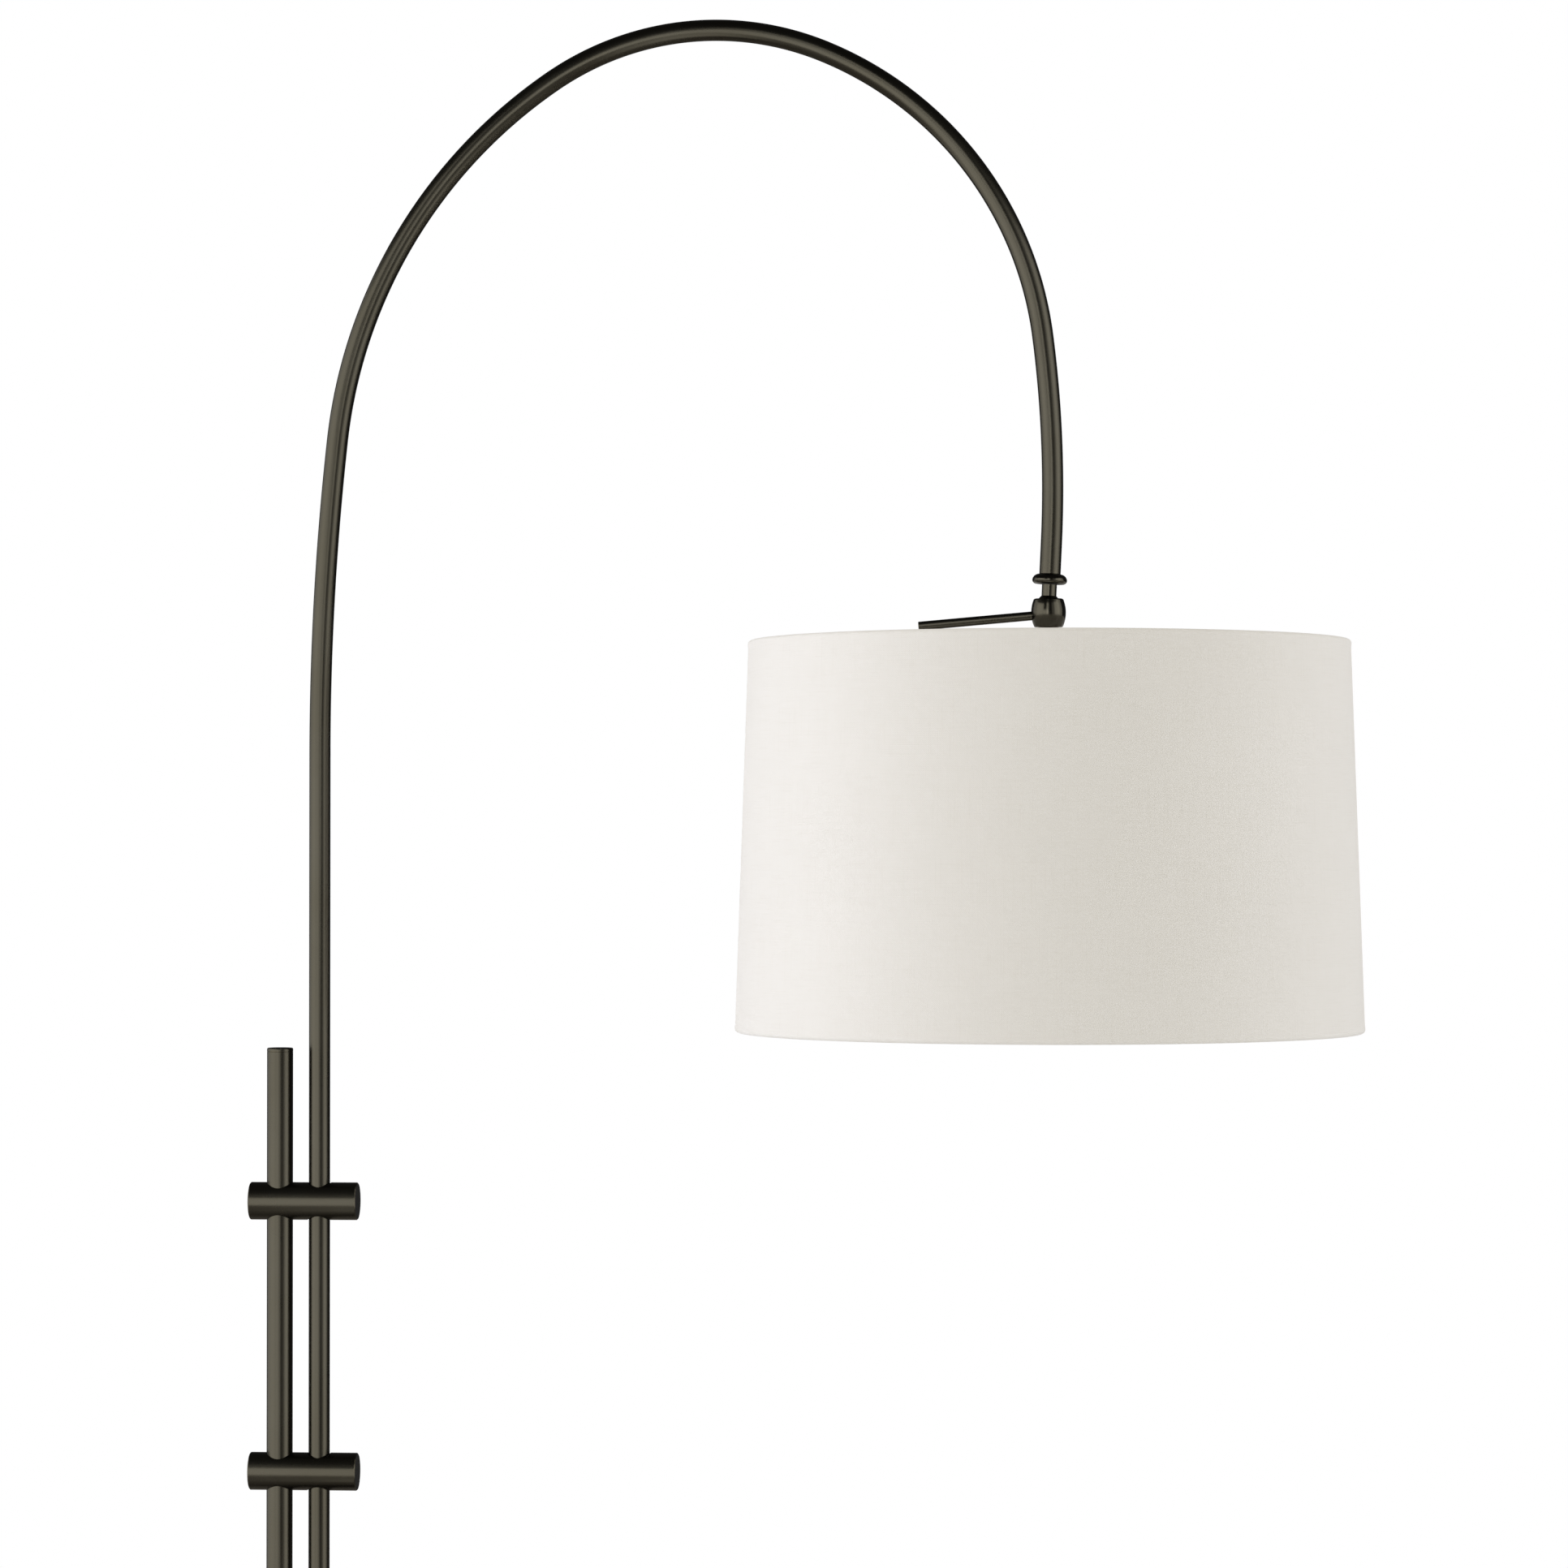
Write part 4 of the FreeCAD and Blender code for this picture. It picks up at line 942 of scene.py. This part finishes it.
# %% Thread on the bulb's cap
CORE_R = 12.4 * MM
CAP_T = 0.3 * MM


def thread_tree(finish):
    sizes = {"Turns": 5.0, "Core radius": CORE_R, "Ridge radius": 0.0009, "Climb": 0.018, "Base height": 0.0}
    tree, size, out = start_shape_tree("screw thread", sizes)
    spiral = add(tree, "GeometryNodeCurveSpiral", {
        "Resolution": 48, "Rotations": size["Turns"], "Start Radius": size["Core radius"],
        "End Radius": size["Core radius"], "Height": size["Climb"]}).outputs[0]
    ridge = swept(tree, spiral, size["Ridge radius"], 10)
    raised = add(tree, "GeometryNodeTransform",
                 {"Geometry": ridge, "Translation": vector(tree, Z=size["Base height"])}).outputs[0]
    return end_shape_tree(tree, joined(tree, raised, size["Geometry"]), out, finish)


def bulb_cap():
    low, high, middle = box_of("bulb_cap")
    outline = [
        (0, high.z), (4.2 * MM, high.z), (5.2 * MM, high.z - 1 * MM), (9 * MM, high.z - 2.6 * MM),
        (CORE_R - 0.8 * MM, high.z - 4.2 * MM), (CORE_R, high.z - 5.2 * MM), (CORE_R, low.z),
        (CORE_R - CAP_T, low.z), (CORE_R - CAP_T, high.z - 5.6 * MM), (0, high.z - 5.6 * MM)]
    body = spun("cap body", outline, ALUMINIUM, 64)
    cap = grown("bulb_screw_cap", body, thread_tree(ALUMINIUM), ALUMINIUM, Turns=3.6, Core_radius=CORE_R - 0.2 * MM,
                Ridge_radius=0.75 * MM, Climb=12.6 * MM, Base_height=low.z + 2.4 * MM)
    cap.data.transform(Matrix.Translation((middle.x, middle.y, 0)))
    return cap


stands_for(bulb_cap(), "bulb_cap")

# %% [markdown]
# ## The switch knob
# The knob is black moulded phenolic with broad finger ribs, on a shaft that runs into the lamp holder.
# It points to the lamp's front, the other way from the thumbscrews.

# %% Switch knob
KNOB_R, KNOB_LONG = 6.4 * MM, 10 * MM
SPINDLE_R, KNOB_NECK_R, KNOB_NECK_LONG = 2 * MM, 3.4 * MM, 3 * MM
KNOB_EDGE, KNOB_CROWN = 0.6 * MM, 1.6 * MM


def switch_knob():
    low, high, middle = box_of("switch_knob")
    inner, outer = shade_middle.y - high.y, shade_middle.y - low.y
    grip = outer - KNOB_LONG
    neck = grip - KNOB_NECK_LONG
    outline = [(0, inner), (SPINDLE_R, inner), (SPINDLE_R, neck), (KNOB_NECK_R, neck), (KNOB_NECK_R, grip)]
    outline += rounding(KNOB_R - KNOB_EDGE, grip + KNOB_EDGE, KNOB_EDGE, -90, 0)
    outline += rounding(KNOB_R - KNOB_CROWN, outer - KNOB_CROWN, KNOB_CROWN, 0, 80) + [(0, outer)]
    body = spun("knob body", outline, KNOB_BLACK, 64)
    knob = grown("ribbed_switch_knob", body, KNOB_RIBS, KNOB_BLACK, **{
        "Ribs": 14, "Ring radius": KNOB_R - 0.1 * MM, "Rib radius": 0.7 * MM, "Rib length": 7 * MM,
        "Rib height": (grip + outer) / 2 - 0.4 * MM})
    forward = Matrix.Rotation(math.pi / 2, 4, "X")
    knob.data.transform(Matrix.Translation((middle.x, shade_middle.y, middle.z)) @ forward)
    return knob


stands_for(switch_knob(), "switch_knob")

# %% [markdown]
# ## The felt pad
# The pad is die-cut from pressed felt, so its edge is soft and a little ragged. It is spun with a rounded edge and
# its rim points are then moved in and out by a fraction of a millimetre.

# %% Felt pad
def felt_pad():
    low, high, _ = box_of("foot_felt")
    pad_r = (high.y - low.y) / 2
    soft = 0.7 * MM
    outline = [(0, low.z)] + [(pad_r * share, low.z) for share in (0.4, 0.8)]
    outline += rounding(pad_r - soft, low.z + soft, soft, -90, 0, 4)
    outline += rounding(pad_r - soft, high.z - soft, soft, 0, 90, 4)
    outline += [(pad_r * share, high.z) for share in (0.8, 0.4)] + [(0, high.z)]
    pad = spun("felt_pad", outline, FELT, 360)
    for i, corner in enumerate(pad.data.vertices):
        away = math.hypot(corner.co.x, corner.co.y)
        if away > pad_r - 0.5 * MM:
            ragged = 1 - 0.0012 * (0.5 + 0.5 * math.sin(i * 2.399) * math.sin(i * 0.731))
            corner.co.x *= ragged
            corner.co.y *= ragged
    return pad


felt = stands_for(felt_pad(), "foot_felt")

# %% [markdown]
# ## Studio
# A round pale floor, and a world that is white behind the lamp but dim in reflections, as in a dark studio with a
# white sweep. The world's warm fill reaches only the cloth and the other matt surfaces, and the floor looks dark
# when the metal mirrors it.

# %% Floor and world
FLOOR_R = 4.8
PALE_FLOOR = (0.80, 0.80, 0.79, 1), (0.83, 0.83, 0.82, 1)
MIRRORED_FLOOR = (0.26, 0.24, 0.21, 1)
WARM_FILL, FILL_STRENGTH, MIRRORED_WORLD = (1.0, 0.975, 0.92, 1), 0.71, 0.05


def studio_floor():
    floor = bmesh.new()
    bmesh.ops.create_circle(floor, cap_ends=True, segments=160, radius=FLOOR_R)
    finish, tree, to, place = start_finish("studio floor", Roughness=0.8)
    mirrored = add(tree, "ShaderNodeLightPath").outputs["Is Glossy Ray"]
    pale = mixed(tree, noise(tree, place, 3.0, 3.0), *PALE_FLOOR)
    tree.links.new(mixed(tree, mirrored, pale, MIRRORED_FLOOR), to["Base Color"])
    made = into_object("studio_floor", floor, finish, Matrix.Translation((0.3, 0, 0)))


def studio_world():
    world = bpy.data.worlds.new("studio")
    bpy.context.scene.world = world
    world.use_nodes = True
    tree = world.node_tree
    tree.nodes.clear()
    rays = add(tree, "ShaderNodeLightPath").outputs
    white = (1, 1, 1, 1)
    seen, fill, dark = (
        add(tree, "ShaderNodeBackground", {"Color": colour, "Strength": strength}).outputs[0]
        for colour, strength in ((white, 1.0), (WARM_FILL, FILL_STRENGTH), (white, MIRRORED_WORLD)))
    lit = add(tree, "ShaderNodeMixShader", {0: rays["Is Diffuse Ray"], 1: dark, 2: fill}).outputs[0]
    both = add(tree, "ShaderNodeMixShader", {0: rays["Is Camera Ray"], 1: lit, 2: seen}).outputs[0]
    add(tree, "ShaderNodeOutputWorld", {0: both})


studio_floor()
studio_world()
print(f"floor and world: {bpy.context.scene.world.name}")

# %% [markdown]
# ### Cards and soft boxes
# Metal shows its shape by what it mirrors, and cloth by its shading, so each gets lights of its own. A card is an
# area light that only the metal mirrors: it is hidden from diffuse rays. A soft box lights only the cloth: it is
# hidden from glossy rays. Neither is seen by the camera, and the two sets are tuned one at a time.

# %% Area lights
COOL, NEUTRAL = (0.97, 1.0, 1.18), (1.0, 0.995, 0.96)


def area_light(name, wide, high, strength, colour=NEUTRAL):
    """An area light whose strength is its brightness, whatever its size."""
    light = bpy.data.lights.new(name, "AREA")
    light.shape = "RECTANGLE"
    light.size, light.size_y = wide, high
    light.energy = strength * math.pi * wide * high
    light.color = colour
    made = in_scene(name, light)
    made.visible_camera = False
    return made


def panel(name, azimuth, strength, wide=17, rise=(0.02, 3.2), away=2.7, centre_x=0.2, colour=NEUTRAL):
    """An upright light that faces the lamp. Azimuth 0 is the lamp's front, 90 its right, and wide is in degrees."""
    made = area_light(name, 2 * away * math.tan(math.radians(wide) / 2), rise[1] - rise[0], strength, colour)
    turn = math.radians(azimuth)
    centre = Vector((centre_x, 0, (rise[0] + rise[1]) / 2))
    made.location = centre + away * Vector((math.sin(turn), -math.cos(turn), 0))
    made.rotation_euler = (centre - made.location).to_track_quat("-Z", "Y").to_euler()
    return made


print("light helpers: area_light, panel")

# %% [markdown]
# A wide row of upright cards wraps round the lamp's left and fades towards the front, and a narrower row stands on
# its right. A card's share falls off towards the ends of its row, which gives the tubes bands with soft edges.

# %% Upright cards
STRENGTH = 2.15
SIDE_CARDS = {
    -118: 0.40, -101: 0.65, -84: 0.9, -67: 1.0, -50: 1.0, -33: 0.88,
    41: 0.25, 58: 0.85, 75: 1.05, 92: 0.6}
FRONT_CARDS = {-16: 0.98, 1: 0.56}
for azimuth, share in SIDE_CARDS.items():
    panel(f"side card {azimuth}", azimuth, STRENGTH * share).visible_diffuse = False
for azimuth, share in FRONT_CARDS.items():
    panel(f"front card {azimuth}", azimuth, STRENGTH * share, rise=(0.02, 2.1)).visible_diffuse = False
strip = panel("front strip", -6, 2.0, wide=13, rise=(1.38, 2.6), away=1.5, centre_x=0.66)
strip.visible_diffuse = False
print(f"{len(SIDE_CARDS) + len(FRONT_CARDS) + 1} upright cards")

# %% [markdown]
# The arch's crown lies level, so its lower half mirrors the floor in front of the lamp. A card that lies on the
# floor and faces up widens the crown's highlight downwards, and upright tubes hardly see it.

# %% Floor card
floor_card = area_light("floor card", 1.0, 2.0, 1.25)
floor_card.location = (0.4, -1.55, 0.03)
floor_card.rotation_euler = (math.pi, 0, 0)
floor_card.visible_diffuse = False
print(f"floor card at {floor_card.location[:]}")

# %% [markdown]
# The soft boxes light the cloth: a wide strong one from the left and a weaker one from the right, both a little
# cool, against the warm fill of the world.

# %% Soft boxes
SOFT_BOXES = {"left box": (-74, 70, 2.3, COOL), "right box": (88, 50, 1.05, COOL)}
for name, (azimuth, wide, strength, colour) in SOFT_BOXES.items():
    panel(name, azimuth, strength, wide=wide, rise=(0.7, 2.5), colour=colour).visible_glossy = False
print(f"{len(SOFT_BOXES)} soft boxes")

# %% [markdown]
# ## Camera
# A long lens at eye level keeps the shade's rims flat. The camera stands four degrees to the right of square on,
# four metres off, and looks up by less than a degree, so upright lines stay upright.

# %% Camera
CAMERA_PLACE = (0.7138, -4.046, 1.435)
CAMERA_TURN = 4.0
CAMERA_RISE = 0.708
CAMERA_LENS = 109.9


def lamp_camera():
    lens = bpy.data.cameras.new("camera")
    lens.lens = CAMERA_LENS
    lens.sensor_width = 36
    lens.clip_end = 50
    made = in_scene("camera", lens)
    made.location = CAMERA_PLACE
    made.rotation_euler = (math.radians(90 + CAMERA_RISE), 0, math.radians(CAMERA_TURN))
    bpy.context.scene.camera = made


lamp_camera()
bpy.context.scene.view_settings.view_transform = "Standard"
print(f"camera at {CAMERA_PLACE}, {CAMERA_LENS} mm lens")
